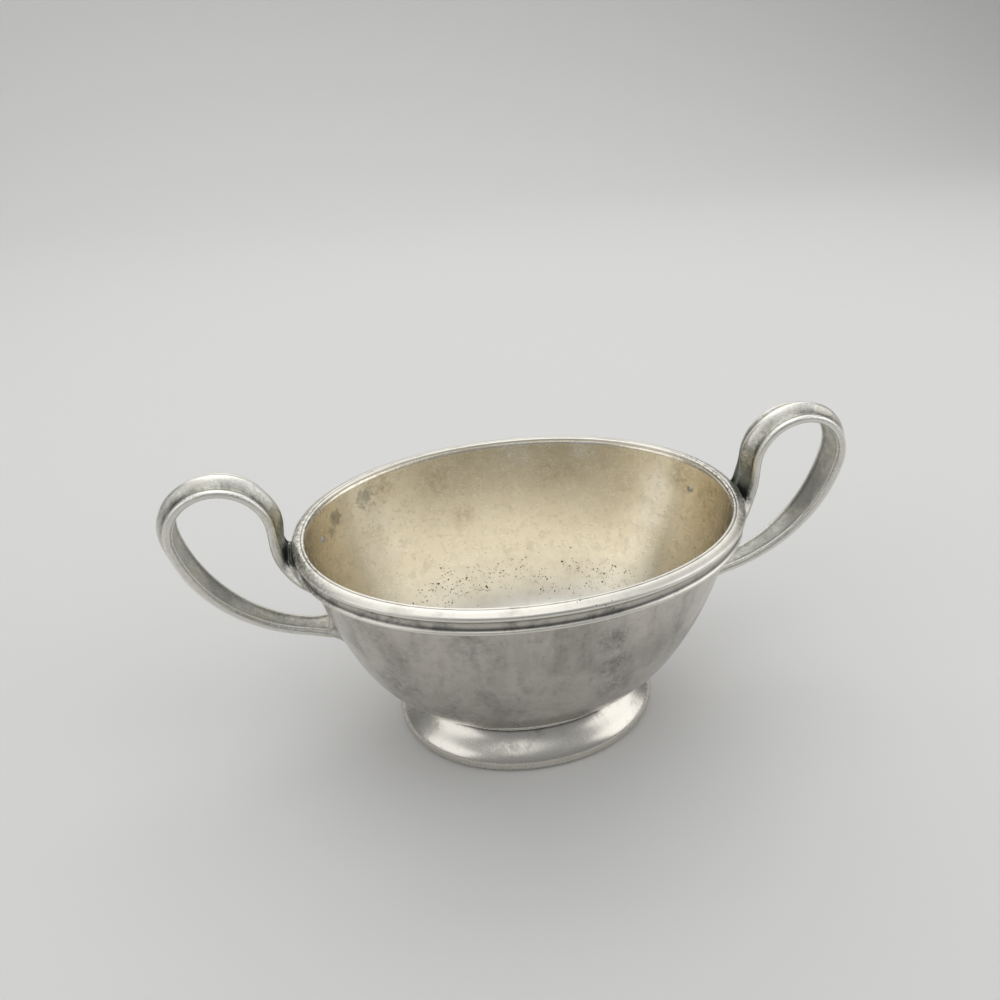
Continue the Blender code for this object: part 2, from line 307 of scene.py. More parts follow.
@dataclass(frozen=True)
class OvalPlan:
    """The bowl's plan at every level: an oval a little fuller than an ellipse."""

    fullness: float = 2.06
    steps: int = 256

    def ring(self, halves: Halves, height: float, outset: float = 0.0) -> np.ndarray:
        """Give one level's ring of points.

        Args:
            halves: The oval's half length and half width.
            height: The level.
            outset: How far the ring stands outside the oval.

        Returns:
            The points, one a row.
        """
        angle = np.linspace(0.0, 2.0 * math.pi, self.steps, endpoint=False)
        along, across = np.cos(angle), np.sin(angle)
        power = 2.0 / self.fullness
        x = halves.length * np.sign(along) * np.abs(along) ** power
        y = halves.width * np.sign(across) * np.abs(across) ** power
        slope_x = np.sign(along) * np.abs(along) ** (2.0 - power) / halves.length
        slope_y = np.sign(across) * np.abs(across) ** (2.0 - power) / halves.width
        size = np.hypot(slope_x, slope_y)
        return np.column_stack((x + outset * slope_x / size, y + outset * slope_y / size,
                                np.full(self.steps, height)))

    def clearance(self, x: np.ndarray, y: np.ndarray, length: np.ndarray, width: np.ndarray) -> np.ndarray:
        """Give about how far points lie outside ovals.

        Args:
            x: The points' places along the bowl.
            y: Their places across it.
            length: Each oval's half length.
            width: Each oval's half width.

        Returns:
            The distances, negative inside.
        """
        power = self.fullness
        reach = ((np.abs(x) / length) ** power + (np.abs(y) / width) ** power) ** (1.0 / power)
        return (reach - 1.0) * np.hypot(x, y) / np.maximum(reach, 1e-6)


@dataclass(frozen=True)
class WallCurve:
    """How the drawn wall climbs and spreads from the floor to the mouth."""

    plan: OvalPlan
    floor: float
    top: float
    mouth: Halves
    floor_halves: Halves = Halves(19.0, 15.5)
    straightness: float = 1.225
    fullness: float = 3.05

    def share(self, height: np.ndarray | float) -> np.ndarray | float:
        """Give how far out the wall stands at a height: 0 at the floor, 1 at the mouth."""
        climb = np.clip((height - self.floor) / (self.top - self.floor), 0.0, 1.0)
        return (1.0 - (1.0 - climb) ** self.straightness) ** (1.0 / self.fullness)

    def halves(self, height: np.ndarray | float) -> Halves:
        """Give the size of the wall's outside at a height.

        Args:
            height: The height, or several.

        Returns:
            The half length and half width there.
        """
        share = self.share(height)
        return Halves(self.floor_halves.length + (self.mouth.length - self.floor_halves.length) * share,
                      self.floor_halves.width + (self.mouth.width - self.floor_halves.width) * share)


@dataclass(frozen=True)
class BowlSkin:
    """The outside that the handles are soldered to: the wall, and the rim over it."""

    curve: WallCurve
    rim: Halves
    rim_underside: float
    rim_top: float
    chamfer: float = 2.6

    def halves(self, height: np.ndarray) -> Halves:
        """Give the skin's size at some heights.

        Args:
            height: The heights.

        Returns:
            The half lengths and half widths there.
        """
        wall = self.curve.halves(height)
        share = smooth_step((height - self.rim_underside + self.chamfer) / self.chamfer)
        return Halves(wall.length + (self.rim.length - wall.length) * share,
                      wall.width + (self.rim.width - wall.width) * share)

    def clearance(self, points: np.ndarray) -> np.ndarray:
        """Give about how far points lie outside the skin.

        Args:
            points: The points, with X, Y and Z along the last axis.

        Returns:
            The distances, negative inside.
        """
        halves = self.halves(points[..., 2])
        beside = self.curve.plan.clearance(points[..., 0], points[..., 1], halves.length, halves.width)
        return np.maximum(beside, points[..., 2] - self.rim_top)

    def normals(self, points: np.ndarray, step: float = 0.05) -> np.ndarray:
        """Give the skin's outward directions near some points.

        Args:
            points: The points, with X, Y and Z along the last axis.
            step: How far either side the slope is read.

        Returns:
            The directions.
        """
        slopes = []
        for axis in range(3):
            shift = np.zeros(3)
            shift[axis] = step
            slopes.append(self.clearance(points + shift) - self.clearance(points - shift))
        slope = np.stack(slopes, axis=-1)
        return slope / np.maximum(np.linalg.norm(slope, axis=-1, keepdims=True), 1e-9)

    def settle(self, points: np.ndarray, tries: int = 4) -> np.ndarray:
        """Move points along the skin's normals until they lie on it.

        Args:
            points: The points, with X, Y and Z along the last axis.
            tries: How often each point is moved.

        Returns:
            The moved points.
        """
        for _ in range(tries):
            points = points - self.normals(points) * self.clearance(points)[..., None]
        return points


@dataclass(frozen=True)
class Stain:
    """A blotched patch of colour about a point of a surface, used for tarnish and for painted highlights."""

    centre: tuple[float, float, float]
    radius: float
    colour: Colour
    strength: float = 0.8
    core: float = 0.2
    fray: float = 0.0


GREEN_GREY: Colour = (0.22, 0.23, 0.205, 1.0)
WARM_BROWN: Colour = (0.40, 0.325, 0.22, 1.0)
SHADE: Colour = (0.20, 0.19, 0.18, 1.0)
# Clean plate, also used for painted highlight streaks inside the bowl.
CLEAN_PLATE_AND_SHEEN: Colour = (0.93, 0.91, 0.86, 1.0)


class NodeGraph:
    """A short way of writing a material's nodes."""

    def __init__(self, name: str) -> None:
        """Start a material with one shader.

        Args:
            name: The material's name.
        """
        self.material = bpy.data.materials.new(name)
        self.material.use_nodes = True
        self.tree = self.material.node_tree
        self.shader = self.tree.nodes["Principled BSDF"]
        coordinates = self.node("ShaderNodeTexCoord")
        scaled = self.node("ShaderNodeVectorMath", operation="SCALE")
        self.tree.links.new(coordinates.outputs["Object"], scaled.inputs[0])
        scaled.inputs["Scale"].default_value = 1.0 / MM
        self.place = scaled.outputs[0]
        parts = self.node("ShaderNodeSeparateXYZ")
        self.tree.links.new(self.place, parts.inputs[0])
        self.x, _, self.z = parts.outputs

    def node(self, kind: str, **settings: object) -> bpy.types.Node:
        """Add a node and set its properties.

        Args:
            kind: The node's type.
            settings: Its properties.

        Returns:
            The new node.
        """
        made = self.tree.nodes.new(kind)
        for key, value in settings.items():
            setattr(made, key, value)
        return made

    def feed(self, socket: Socket, value: Feed) -> None:
        """Link a socket to another, or set it to a constant.

        Args:
            socket: The socket that is fed.
            value: What feeds it.
        """
        if isinstance(value, bpy.types.NodeSocket):
            self.tree.links.new(value, socket)
        else:
            socket.default_value = value

    def math(self, operation: str, first: Feed, second: Feed = 0.0, third: Feed = 0.0) -> Socket:
        """Give a sum, product or other operation on up to three numbers.

        Args:
            operation: The operation's name in Blender.
            first: The first number.
            second: The second, where the operation takes one.
            third: The third, where it takes one.

        Returns:
            The result.
        """
        made = self.node("ShaderNodeMath", operation=operation)
        for socket, value in zip(made.inputs, (first, second, third)):
            self.feed(socket, value)
        return made.outputs[0]

    def times(self, *factors: Feed) -> Socket:
        """Multiply several numbers.

        Args:
            factors: The numbers.

        Returns:
            Their product.
        """
        product = factors[0]
        for factor in factors[1:]:
            product = self.math("MULTIPLY", product, factor)
        return product

    def add(self, *terms: Feed) -> Socket:
        """Add several numbers.

        Args:
            terms: The numbers.

        Returns:
            Their sum.
        """
        total = terms[0]
        for term in terms[1:]:
            total = self.math("ADD", total, term)
        return total

    def span(self, value: Feed, low: float, high: float, start: float = 0.0, end: float = 1.0) -> Socket:
        """Ease a number from one range to another, held at both ends.

        Args:
            value: The number.
            low: Where the range starts; it may lie above high.
            high: Where the range ends.
            start: The result at low.
            end: The result at high.

        Returns:
            The eased number.
        """
        made = self.node("ShaderNodeMapRange", interpolation_type="SMOOTHSTEP")
        if low > high:
            low, high, start, end = high, low, end, start
        for socket, number in zip(made.inputs, (value, low, high, start, end)):
            self.feed(socket, number)
        return made.outputs[0]

    def band(self, value: Feed, middle: float, half: float) -> Socket:
        """Give 1 at a middle value, falling to 0 a half width either side."""
        away = self.math("ABSOLUTE", self.math("SUBTRACT", value, middle))
        return self.span(away, half, 0.0)

    def mix(self, share: Feed, first: Feed, second: Feed) -> Socket:
        """Blend two colours.

        Args:
            share: How much of the second colour shows, from 0 to 1.
            first: The first colour.
            second: The second colour.

        Returns:
            The blend.
        """
        made = self.node("ShaderNodeMix", data_type="RGBA")
        self.feed(made.inputs[0], share)
        self.feed(made.inputs[6], first)
        self.feed(made.inputs[7], second)
        return made.outputs[2]

    def stretch(self, scale: tuple[float, float, float]) -> Socket:
        """Give the place with each axis scaled by itself.

        Args:
            scale: The three axes' scales.

        Returns:
            The scaled place.
        """
        made = self.node("ShaderNodeVectorMath", operation="MULTIPLY")
        self.feed(made.inputs[0], self.place)
        made.inputs[1].default_value = scale
        return made.outputs[0]

    def clouds(self, size: float, detail: float = 4.0, rough: float = 0.6, seed: float = 0.0,
               place: Socket | None = None) -> Socket:
        """Give soft noise.

        Args:
            size: The width of one cloud.
            detail: How many finer layers lie over it.
            rough: How strong the finer layers are.
            seed: A shift that gives another pattern.
            place: Where it is read, instead of the point in millimetres.

        Returns:
            The noise, about 0.5.
        """
        made = self.node("ShaderNodeTexNoise", noise_dimensions="4D")
        self.feed(made.inputs["Vector"], place or self.place)
        made.inputs["W"].default_value = seed
        made.inputs["Scale"].default_value = 1.0 / size
        made.inputs["Detail"].default_value = detail
        made.inputs["Roughness"].default_value = rough
        return made.outputs[0]

    def pits(self, spacing: float, radius: float, kept: Feed) -> Socket:
        """Give small ragged pits at uneven places.

        Args:
            spacing: How far apart they could lie.
            radius: The largest pit's radius.
            kept: The share of the places that hold one.

        Returns:
            1 in a pit and 0 outside.
        """
        ragged = self.node("ShaderNodeTexNoise")
        self.feed(ragged.inputs["Vector"], self.place)
        ragged.inputs["Scale"].default_value = 1.3 / radius
        shift = self.node("ShaderNodeVectorMath", operation="MULTIPLY_ADD")
        self.feed(shift.inputs[0], ragged.outputs["Color"])
        shift.inputs[1].default_value = (1.6 * radius,) * 3
        self.feed(shift.inputs[2], self.place)
        made = self.node("ShaderNodeTexVoronoi")
        self.feed(made.inputs["Vector"], shift.outputs[0])
        made.inputs["Scale"].default_value = 1.0 / spacing
        draw = self.node("ShaderNodeSeparateColor")
        self.tree.links.new(made.outputs["Color"], draw.inputs[0])
        size = self.math("MULTIPLY_ADD", draw.outputs[1], 0.65 * radius / spacing, 0.35 * radius / spacing)
        depth = self.math("DIVIDE", made.outputs["Distance"], size)
        return self.times(self.span(depth, 1.0, 0.55), self.math("LESS_THAN", draw.outputs[0], kept))

    def trace(self, trace: Trace) -> Socket:
        """Read what the mesh remembers."""
        made = self.node("ShaderNodeAttribute", attribute_name=trace.value)
        return made.outputs["Fac"]

    def apart(self, centre: tuple[float, float, float]) -> Socket:
        """Give the distance from a point.

        Args:
            centre: The point, in millimetres.

        Returns:
            The distance in millimetres.
        """
        made = self.node("ShaderNodeVectorMath", operation="DISTANCE")
        self.feed(made.inputs[0], self.place)
        made.inputs[1].default_value = centre
        return made.outputs["Value"]

    def stain(self, patch: Stain, blotches: Socket) -> Socket:
        """Give where a stain lies: a patch broken up by blotches, or one with its edge frayed by them.

        Args:
            patch: The stain.
            blotches: What breaks it up, from 0 to 1.

        Returns:
            The stain's strength at each point.
        """
        distance = self.apart(patch.centre)
        if not patch.fray:
            soft = self.span(distance, patch.radius, patch.core * patch.radius)
            return self.times(soft, blotches, patch.strength)
        reach = patch.fray * patch.radius
        frayed = self.add(distance, self.times(blotches, -reach), 0.5 * reach)
        return self.times(self.span(frayed, patch.radius, patch.core * patch.radius), patch.strength)

    def spoil(self, colour: Feed, stains: tuple[Stain, ...], blotches: Socket) -> Socket:
        """Lay stains over a colour, broken up by blotches.

        Args:
            colour: The colour underneath.
            stains: The patches.
            blotches: Where a patch shows, from 0 to 1.

        Returns:
            The stained colour.
        """
        for patch in stains:
            colour = self.mix(self.stain(patch, blotches), colour, patch.colour)
        return colour

    def bump(self, height: Feed, depth: float) -> None:
        """Press a height into the shader's normal.

        Args:
            height: The height, where 1 is a whole depth.
            depth: The depth in millimetres.
        """
        made = self.node("ShaderNodeBump")
        made.inputs["Distance"].default_value = depth * MM
        self.feed(made.inputs["Height"], height)
        self.tree.links.new(made.outputs[0], self.shader.inputs["Normal"])

    def plate(self, colour: Feed, roughness: Feed) -> bpy.types.Material:
        """Make the shader a metal of a colour and roughness.

        Args:
            colour: The metal's colour.
            roughness: Its roughness.

        Returns:
            The material.
        """
        self.feed(self.shader.inputs["Base Color"], colour)
        self.feed(self.shader.inputs["Roughness"], roughness)
        self.shader.inputs["Metallic"].default_value = 1.0
        return self.material


@dataclass(frozen=True)
class InsideFinish:
    """Straw-coloured tarnish inside the bowl, clouded, stained and pitted, with painted reflections: paler
    towards the floor and light streaks down both ends.
    """

    straw: Colour = (0.86, 0.805, 0.685, 1.0)
    dull: Colour = (0.66, 0.595, 0.475, 1.0)
    pale: Colour = (0.88, 0.86, 0.79, 1.0)
    pit_black: Colour = (0.03, 0.026, 0.02, 1.0)
    pale_from: float = 36.0
    pale_to: float = 13.0
    scoured: float = 0.22
    dulled_over: tuple[float, float] = (14.0, 52.0)
    dulling: tuple[float, float] = (0.45, 0.78)
    pit_height: float = 22.0
    pit_band: float = 9.0
    relief_depth: float = 0.05
    roughness: tuple[float, float] = (0.22, 0.36)
    stains: tuple[Stain, ...] = (
        Stain((-49.0, 20.0, 58.4), 2.6, GREEN_GREY, 0.6, 0.55, 0.9),
        Stain((-50.3, 17.3, 55.6), 2.0, GREEN_GREY, 0.5, 0.55, 0.9),
        Stain((-40.0, 28.5, 58.6), 3.4, GREEN_GREY, 0.5, 0.5, 1.0),
        # The pale chains down the far wall near both ends, and the broad patch at the right end, are painted
        # highlight streaks.
        Stain((-35.0, 29.7, 50.2), 5.5, CLEAN_PLATE_AND_SHEEN, 0.28, 0.1, 0.5),
        Stain((-33.6, 26.9, 40.0), 5.5, CLEAN_PLATE_AND_SHEEN, 0.28, 0.1, 0.5),
        Stain((-32.2, 24.0, 29.0), 5.5, CLEAN_PLATE_AND_SHEEN, 0.24, 0.1, 0.5),
        Stain((46.0, 21.5, 54.0), 7.0, CLEAN_PLATE_AND_SHEEN, 0.5, 0.1, 0.5),
        Stain((42.5, 20.6, 44.5), 8.0, CLEAN_PLATE_AND_SHEEN, 0.5, 0.1, 0.5),
        Stain((39.0, 18.6, 34.0), 8.0, CLEAN_PLATE_AND_SHEEN, 0.45, 0.1, 0.5),
        Stain((49.0, 6.0, 42.0), 15.0, CLEAN_PLATE_AND_SHEEN, 0.4, 0.1, 0.4),
        Stain((-35.5, 31.4, 60.0), 7.0, WARM_BROWN, 0.7),
        Stain((-19.0, 37.1, 56.0), 8.0, WARM_BROWN, 0.5),
        Stain((-10.9, 36.4, 43.5), 5.0, WARM_BROWN, 0.6),
        Stain((18.0, 37.0, 55.0), 10.0, WARM_BROWN, 0.35),
        Stain((51.0, 16.5, 59.6), 7.0, WARM_BROWN, 0.8),
        Stain((55.0, 6.0, 58.5), 9.0, WARM_BROWN, 0.6),
        Stain((40.0, 27.0, 50.0), 8.0, WARM_BROWN, 0.4),
        Stain((7.0, 40.5, 62.0), 6.0, CLEAN_PLATE_AND_SHEEN, 0.8, 0.4, 0.9),
        Stain((26.5, 37.0, 61.8), 5.0, CLEAN_PLATE_AND_SHEEN, 0.8, 0.4, 0.9),
    )

    def material(self) -> bpy.types.Material:
        """Build the finish's nodes.

        Returns:
            The finish as a material.
        """
        graph = NodeGraph("straw_tarnish_inside")
        # Paler towards the floor: a painted reflection of the light overhead.
        low = graph.span(graph.add(graph.z, graph.times(graph.clouds(12.0, 3.0), 16.0), -8.0),
                         self.pale_from, self.pale_to)
        colour = graph.mix(low, self.straw, self.pale)
        broad = graph.span(graph.clouds(11.0, 6.0, 0.72), 0.42, 0.64)
        small = graph.span(graph.clouds(2.6, 6.0, 0.76, 3.0), 0.47, 0.66)
        runs = graph.span(graph.clouds(1.0, 4.0, 0.6, 5.0, graph.stretch((0.22, 0.22, 0.035))), 0.42, 0.66)
        dulled = graph.add(graph.times(broad, 0.40), graph.times(small, 0.38), graph.times(runs, 0.10))
        dulled = graph.times(dulled, graph.span(graph.z, *self.dulled_over, *self.dulling))
        colour = graph.mix(dulled, colour, self.dull)
        blotches = graph.span(graph.clouds(2.0, 6.0, 0.8, 7.0), 0.38, 0.64)
        colour = graph.spoil(colour, self.stains, blotches)
        band = graph.band(graph.add(graph.z, graph.times(graph.clouds(8.0, 2.0, 0.5, 13.0), 12.0), -6.0),
                          self.pit_height, self.pit_band)
        crowd = graph.span(graph.clouds(6.0, 3.0, 0.6, 11.0), 0.40, 0.56)
        pits = graph.math("MAXIMUM", graph.pits(1.1, 0.36, graph.times(band, crowd, 0.9)),
                          graph.pits(0.62, 0.21, graph.times(band, crowd, 0.9)))
        pits = graph.math("MAXIMUM", pits, graph.pits(2.2, 0.15, 0.10))
        colour = graph.mix(graph.times(pits, 0.97), colour, self.pit_black)
        streaks = graph.clouds(1.0, 3.0, 0.6, 1.0, graph.stretch((0.05, 0.05, 2.5)))
        rough = graph.add(graph.span(graph.add(graph.times(small, 0.4), graph.times(streaks, 0.6)), 0.2, 0.8,
                                     *self.roughness),
                          graph.span(graph.z, self.pale_from, self.pale_to, 0.0, self.scoured))
        height = graph.add(graph.times(streaks, 0.2), graph.times(small, 0.3), graph.times(pits, -2.0))
        graph.bump(height, self.relief_depth)
        return graph.plate(colour, rough)


@dataclass(frozen=True)
class OutsideFinish:
    """Worn plate outside the bowl: hazy, scratched round and clouded with grey tarnish, with painted shade
    under the rim and above the foot.
    """

    silver: Colour = (0.62, 0.59, 0.54, 1.0)
    haze: Colour = (0.28, 0.262, 0.238, 1.0)
    dark: Colour = (0.10, 0.095, 0.087, 1.0)
    roughness: tuple[float, float] = (0.18, 0.32)
    relief_depth: float = 0.03
    rim_crevice: float = 58.6
    rim_crevice_half: float = 1.4
    foot_crevice: float = 11.4
    foot_crevice_half: float = 1.2
    stains: tuple[Stain, ...] = (
        Stain((14.0, -38.3, 50.0), 7.0, SHADE, 0.7),
        Stain((15.3, -36.2, 40.0), 7.5, SHADE, 0.75),
        Stain((16.5, -33.0, 29.0), 8.0, SHADE, 0.7),
        Stain((19.5, -27.5, 19.0), 7.0, SHADE, 0.6),
        Stain((38.0, -24.5, 36.0), 8.0, SHADE, 0.6),
        Stain((-38.5, -23.0, 33.0), 9.0, SHADE, 0.6),
        Stain((-20.3, -37.2, 53.0), 9.0, SHADE, 0.4),
        Stain((20.0, 36.0, 46.0), 10.0, SHADE, 0.6),
        Stain((-33.0, 28.0, 38.0), 12.0, SHADE, 0.5),
    )

    def material(self) -> bpy.types.Material:
        """Build the finish's nodes.

        Returns:
            The finish as a material.
        """
        graph = NodeGraph("worn_plate_outside")
        broad = graph.span(graph.clouds(22.0, 5.0, 0.62, 2.0), 0.40, 0.64)
        small = graph.span(graph.clouds(2.4, 6.0, 0.75, 4.0), 0.46, 0.68)
        runs = graph.span(graph.clouds(1.0, 3.0, 0.6, 8.0, graph.stretch((0.16, 0.16, 0.03))), 0.46, 0.68)
        rubbed = graph.clouds(1.0, 5.0, 0.7, 5.0, graph.stretch((0.045, 0.045, 2.4)))
        fine = graph.clouds(1.0, 2.0, 0.5, 9.0, graph.stretch((0.12, 0.12, 5.0)))
        scratches = graph.span(fine, 0.62, 0.74)
        dulled = graph.add(graph.times(broad, 0.42), graph.times(small, 0.3), graph.times(runs, 0.3))
        colour = graph.mix(dulled, self.silver, self.haze)
        colour = graph.spoil(colour, self.stains, graph.span(graph.clouds(2.0, 6.0, 0.75, 7.0), 0.38, 0.62))
        colour = graph.mix(graph.times(scratches, 0.45), colour, self.silver)
        specks = graph.pits(0.9, 0.15, graph.times(broad, 0.35))
        # Painted shade in bands just under the rim and just above the foot.
        crevice_shade = graph.math("MAXIMUM", graph.band(graph.z, self.rim_crevice, self.rim_crevice_half),
                             graph.band(graph.z, self.foot_crevice, self.foot_crevice_half))
        colour = graph.mix(graph.math("MAXIMUM", graph.times(specks, 0.7), graph.times(crevice_shade, 0.8)),
                           colour, self.dark)
        rough = graph.span(graph.add(graph.times(rubbed, 0.6), graph.times(broad, 0.4)), 0.2, 0.8,
                           *self.roughness)
        height = graph.add(graph.times(rubbed, 0.4), graph.times(scratches, -0.6),
                           graph.times(small, -0.3), graph.times(specks, -1.0))
        graph.bump(height, self.relief_depth)
        return graph.plate(colour, rough)


@dataclass(frozen=True)
class MouldingFinish:
    """Rubbed plate on a moulding: worn and painted highlights on its ridges, tarnish and painted shade in
    its hollows.
    """

    name: str
    silver: Colour = (0.73, 0.70, 0.63, 1.0)
    rubbed_sheen: Colour = (0.86, 0.835, 0.765, 1.0)
    haze: Colour = (0.45, 0.43, 0.38, 1.0)
    dark: Colour = (0.085, 0.087, 0.085, 1.0)
    roughness: tuple[float, float] = (0.34, 0.48)
    speckled_from: float = 46.0
    speckled_to: float = 60.0
    nicked: tuple[float, float, float] = (8.5, -43.0, 66.0)
    nicked_reach: float = 8.0
    relief_depth: float = 0.03

    def material(self) -> bpy.types.Material:
        """Build the finish's nodes.

        Returns:
            The finish as a material.
        """
        graph = NodeGraph(self.name)
        cloud = graph.span(graph.clouds(4.5, 6.0, 0.7, 1.0), 0.46, 0.7)
        grain = graph.clouds(0.5, 3.0, 0.7, 2.0)
        colour = graph.mix(graph.times(cloud, 0.45), self.silver, self.haze)
        # The ridge trace lightens the plate: partly rubbed wear, partly a painted highlight.
        colour = graph.mix(graph.times(graph.trace(Trace.EDGE), 0.7), colour, self.rubbed_sheen)
        ends = graph.span(graph.math("ABSOLUTE", graph.x), self.speckled_from, self.speckled_to)
        speckle = graph.span(graph.clouds(0.7, 4.0, 0.8, 6.0), 0.46, 0.60)
        colour = graph.mix(graph.times(ends, speckle, 0.85), colour, self.dark)
        # The hollow trace darkens the plate: partly tarnish, partly painted crevice shade.
        hollow = graph.span(graph.add(graph.trace(Trace.GROOVE), graph.times(cloud, 0.2)), 0.1, 0.85)
        colour = graph.mix(graph.times(hollow, 0.88), colour, self.dark)
        struck = graph.span(graph.apart(self.nicked), self.nicked_reach, 0.2 * self.nicked_reach, 0.0, 0.5)
        nicks = graph.pits(0.8, 0.3, struck)
        pits = graph.math("MAXIMUM", graph.pits(1.3, 0.16, graph.times(cloud, 0.3)), nicks)
        colour = graph.mix(graph.times(pits, 0.8), colour, self.dark)
        rough = graph.span(graph.add(graph.times(grain, 0.5), graph.times(cloud, 0.5)), 0.1, 0.8,
                           *self.roughness)
        graph.bump(graph.add(graph.times(grain, 0.3), graph.times(pits, -1.0)), self.relief_depth)
        return graph.plate(colour, rough)


@dataclass(frozen=True)
class StrapFinish:
    """Cast handle plate: worn and painted highlights on its beads, tarnish and painted shade in its hollows
    and at the root.
    """

    silver: Colour = (0.67, 0.65, 0.585, 1.0)
    straw: Colour = (0.61, 0.565, 0.46, 1.0)
    grey: Colour = (0.27, 0.27, 0.24, 1.0)
    green_grey: Colour = (0.15, 0.162, 0.142, 1.0)
    charcoal: Colour = (0.085, 0.09, 0.087, 1.0)
    rubbed_sheen: Colour = (0.90, 0.885, 0.83, 1.0)
    relief_depth: float = 0.05
    roughness: tuple[float, float] = (0.22, 0.42)

    def material(self) -> bpy.types.Material:
        """Build the finish's nodes.

        Returns:
            The finish as a material.
        """
        graph = NodeGraph("cast_handle_plate")
        cloud = graph.span(graph.clouds(4.0, 5.0, 0.7, 1.0), 0.42, 0.66)
        speckle = graph.span(graph.clouds(0.4, 4.0, 0.8, 6.0), 0.36, 0.74)
        colour = graph.mix(graph.span(graph.clouds(9.0, 3.0, 0.5, 3.0), 0.45, 0.62), self.silver, self.straw)
        colour = graph.mix(graph.times(cloud, 0.42), colour, self.grey)
        cast = graph.span(graph.clouds(1.3, 4.0, 0.75, 12.0), 0.47, 0.63)
        colour = graph.mix(graph.times(cast, 0.36), colour, self.grey)
        grained = graph.math("MULTIPLY_ADD", graph.trace(Trace.INNER), 0.2, 0.3)
        colour = graph.mix(graph.times(speckle, grained), colour, self.grey)
        # The inner face goes grey: partly tarnish, partly a painted dark reflection.
        dulled = graph.span(graph.clouds(7.0, 4.0, 0.6, 8.0), 0.36, 0.62, 0.3, 0.88)
        colour = graph.mix(graph.times(graph.trace(Trace.INNER), dulled), colour, self.grey)
        # Beads and the middle of the face lighten: partly rubbed wear, partly a painted highlight.
        colour = graph.mix(graph.times(graph.trace(Trace.EDGE), 0.92), colour, self.rubbed_sheen)
        # Hollows and the near flank go grey-green: tarnish, with painted crevice shade.
        groove = graph.times(graph.trace(Trace.GROOVE), graph.math("MULTIPLY_ADD", cloud, 0.6, 0.32))
        colour = graph.mix(groove, colour, self.green_grey)
        # The root goes grey-green, then charcoal, on the side facing the bowl: partly tarnish, partly
        # painted shade in the notch.
        root = graph.add(graph.trace(Trace.ROOT), graph.times(speckle, 0.12),
                         graph.times(cloud, 0.16), -0.14)
        colour = graph.mix(graph.times(graph.span(root, 0.05, 0.46), 0.90), colour, self.green_grey)
        colour = graph.mix(graph.times(graph.span(root, 0.58, 0.95), 0.92), colour, self.charcoal)
        worn = graph.add(graph.times(speckle, 0.35), graph.times(cloud, 0.35), graph.times(root, 0.4))
        rough = graph.span(worn, 0.0, 1.0, *self.roughness)
        height = graph.add(graph.times(speckle, -0.5), graph.times(cast, -0.4), graph.times(cloud, -0.3))
        graph.bump(height, self.relief_depth)
        return graph.plate(colour, rough)


@dataclass(frozen=True)
class SolderFinish:
    """Old silver solder, dull, and charcoal where it lies deep in a notch: partly tarnish, partly painted
    shade.
    """

    name: str
    depth: float = 0.0
    silver: Colour = (0.62, 0.605, 0.555, 1.0)
    grey: Colour = (0.30, 0.30, 0.275, 1.0)
    charcoal: Colour = (0.125, 0.132, 0.118, 1.0)
    roughness: tuple[float, float] = (0.42, 0.62)
    relief_depth: float = 0.04

    def material(self) -> bpy.types.Material:
        """Build the finish's nodes.

        Returns:
            The finish as a material.
        """
        graph = NodeGraph(self.name)
        grain = graph.clouds(0.8, 5.0, 0.7, 2.0)
        colour = graph.mix(graph.span(grain, 0.45, 0.65, 0.0, 0.7), self.silver, self.grey)
        deep = graph.add(graph.trace(Trace.ROOT), graph.times(grain, 0.3), self.depth - 0.15)
        colour = graph.mix(graph.span(deep, 0.05, 0.5), colour, self.charcoal)
        graph.bump(grain, self.relief_depth)
        return graph.plate(colour, graph.span(grain, 0.3, 0.7, *self.roughness))


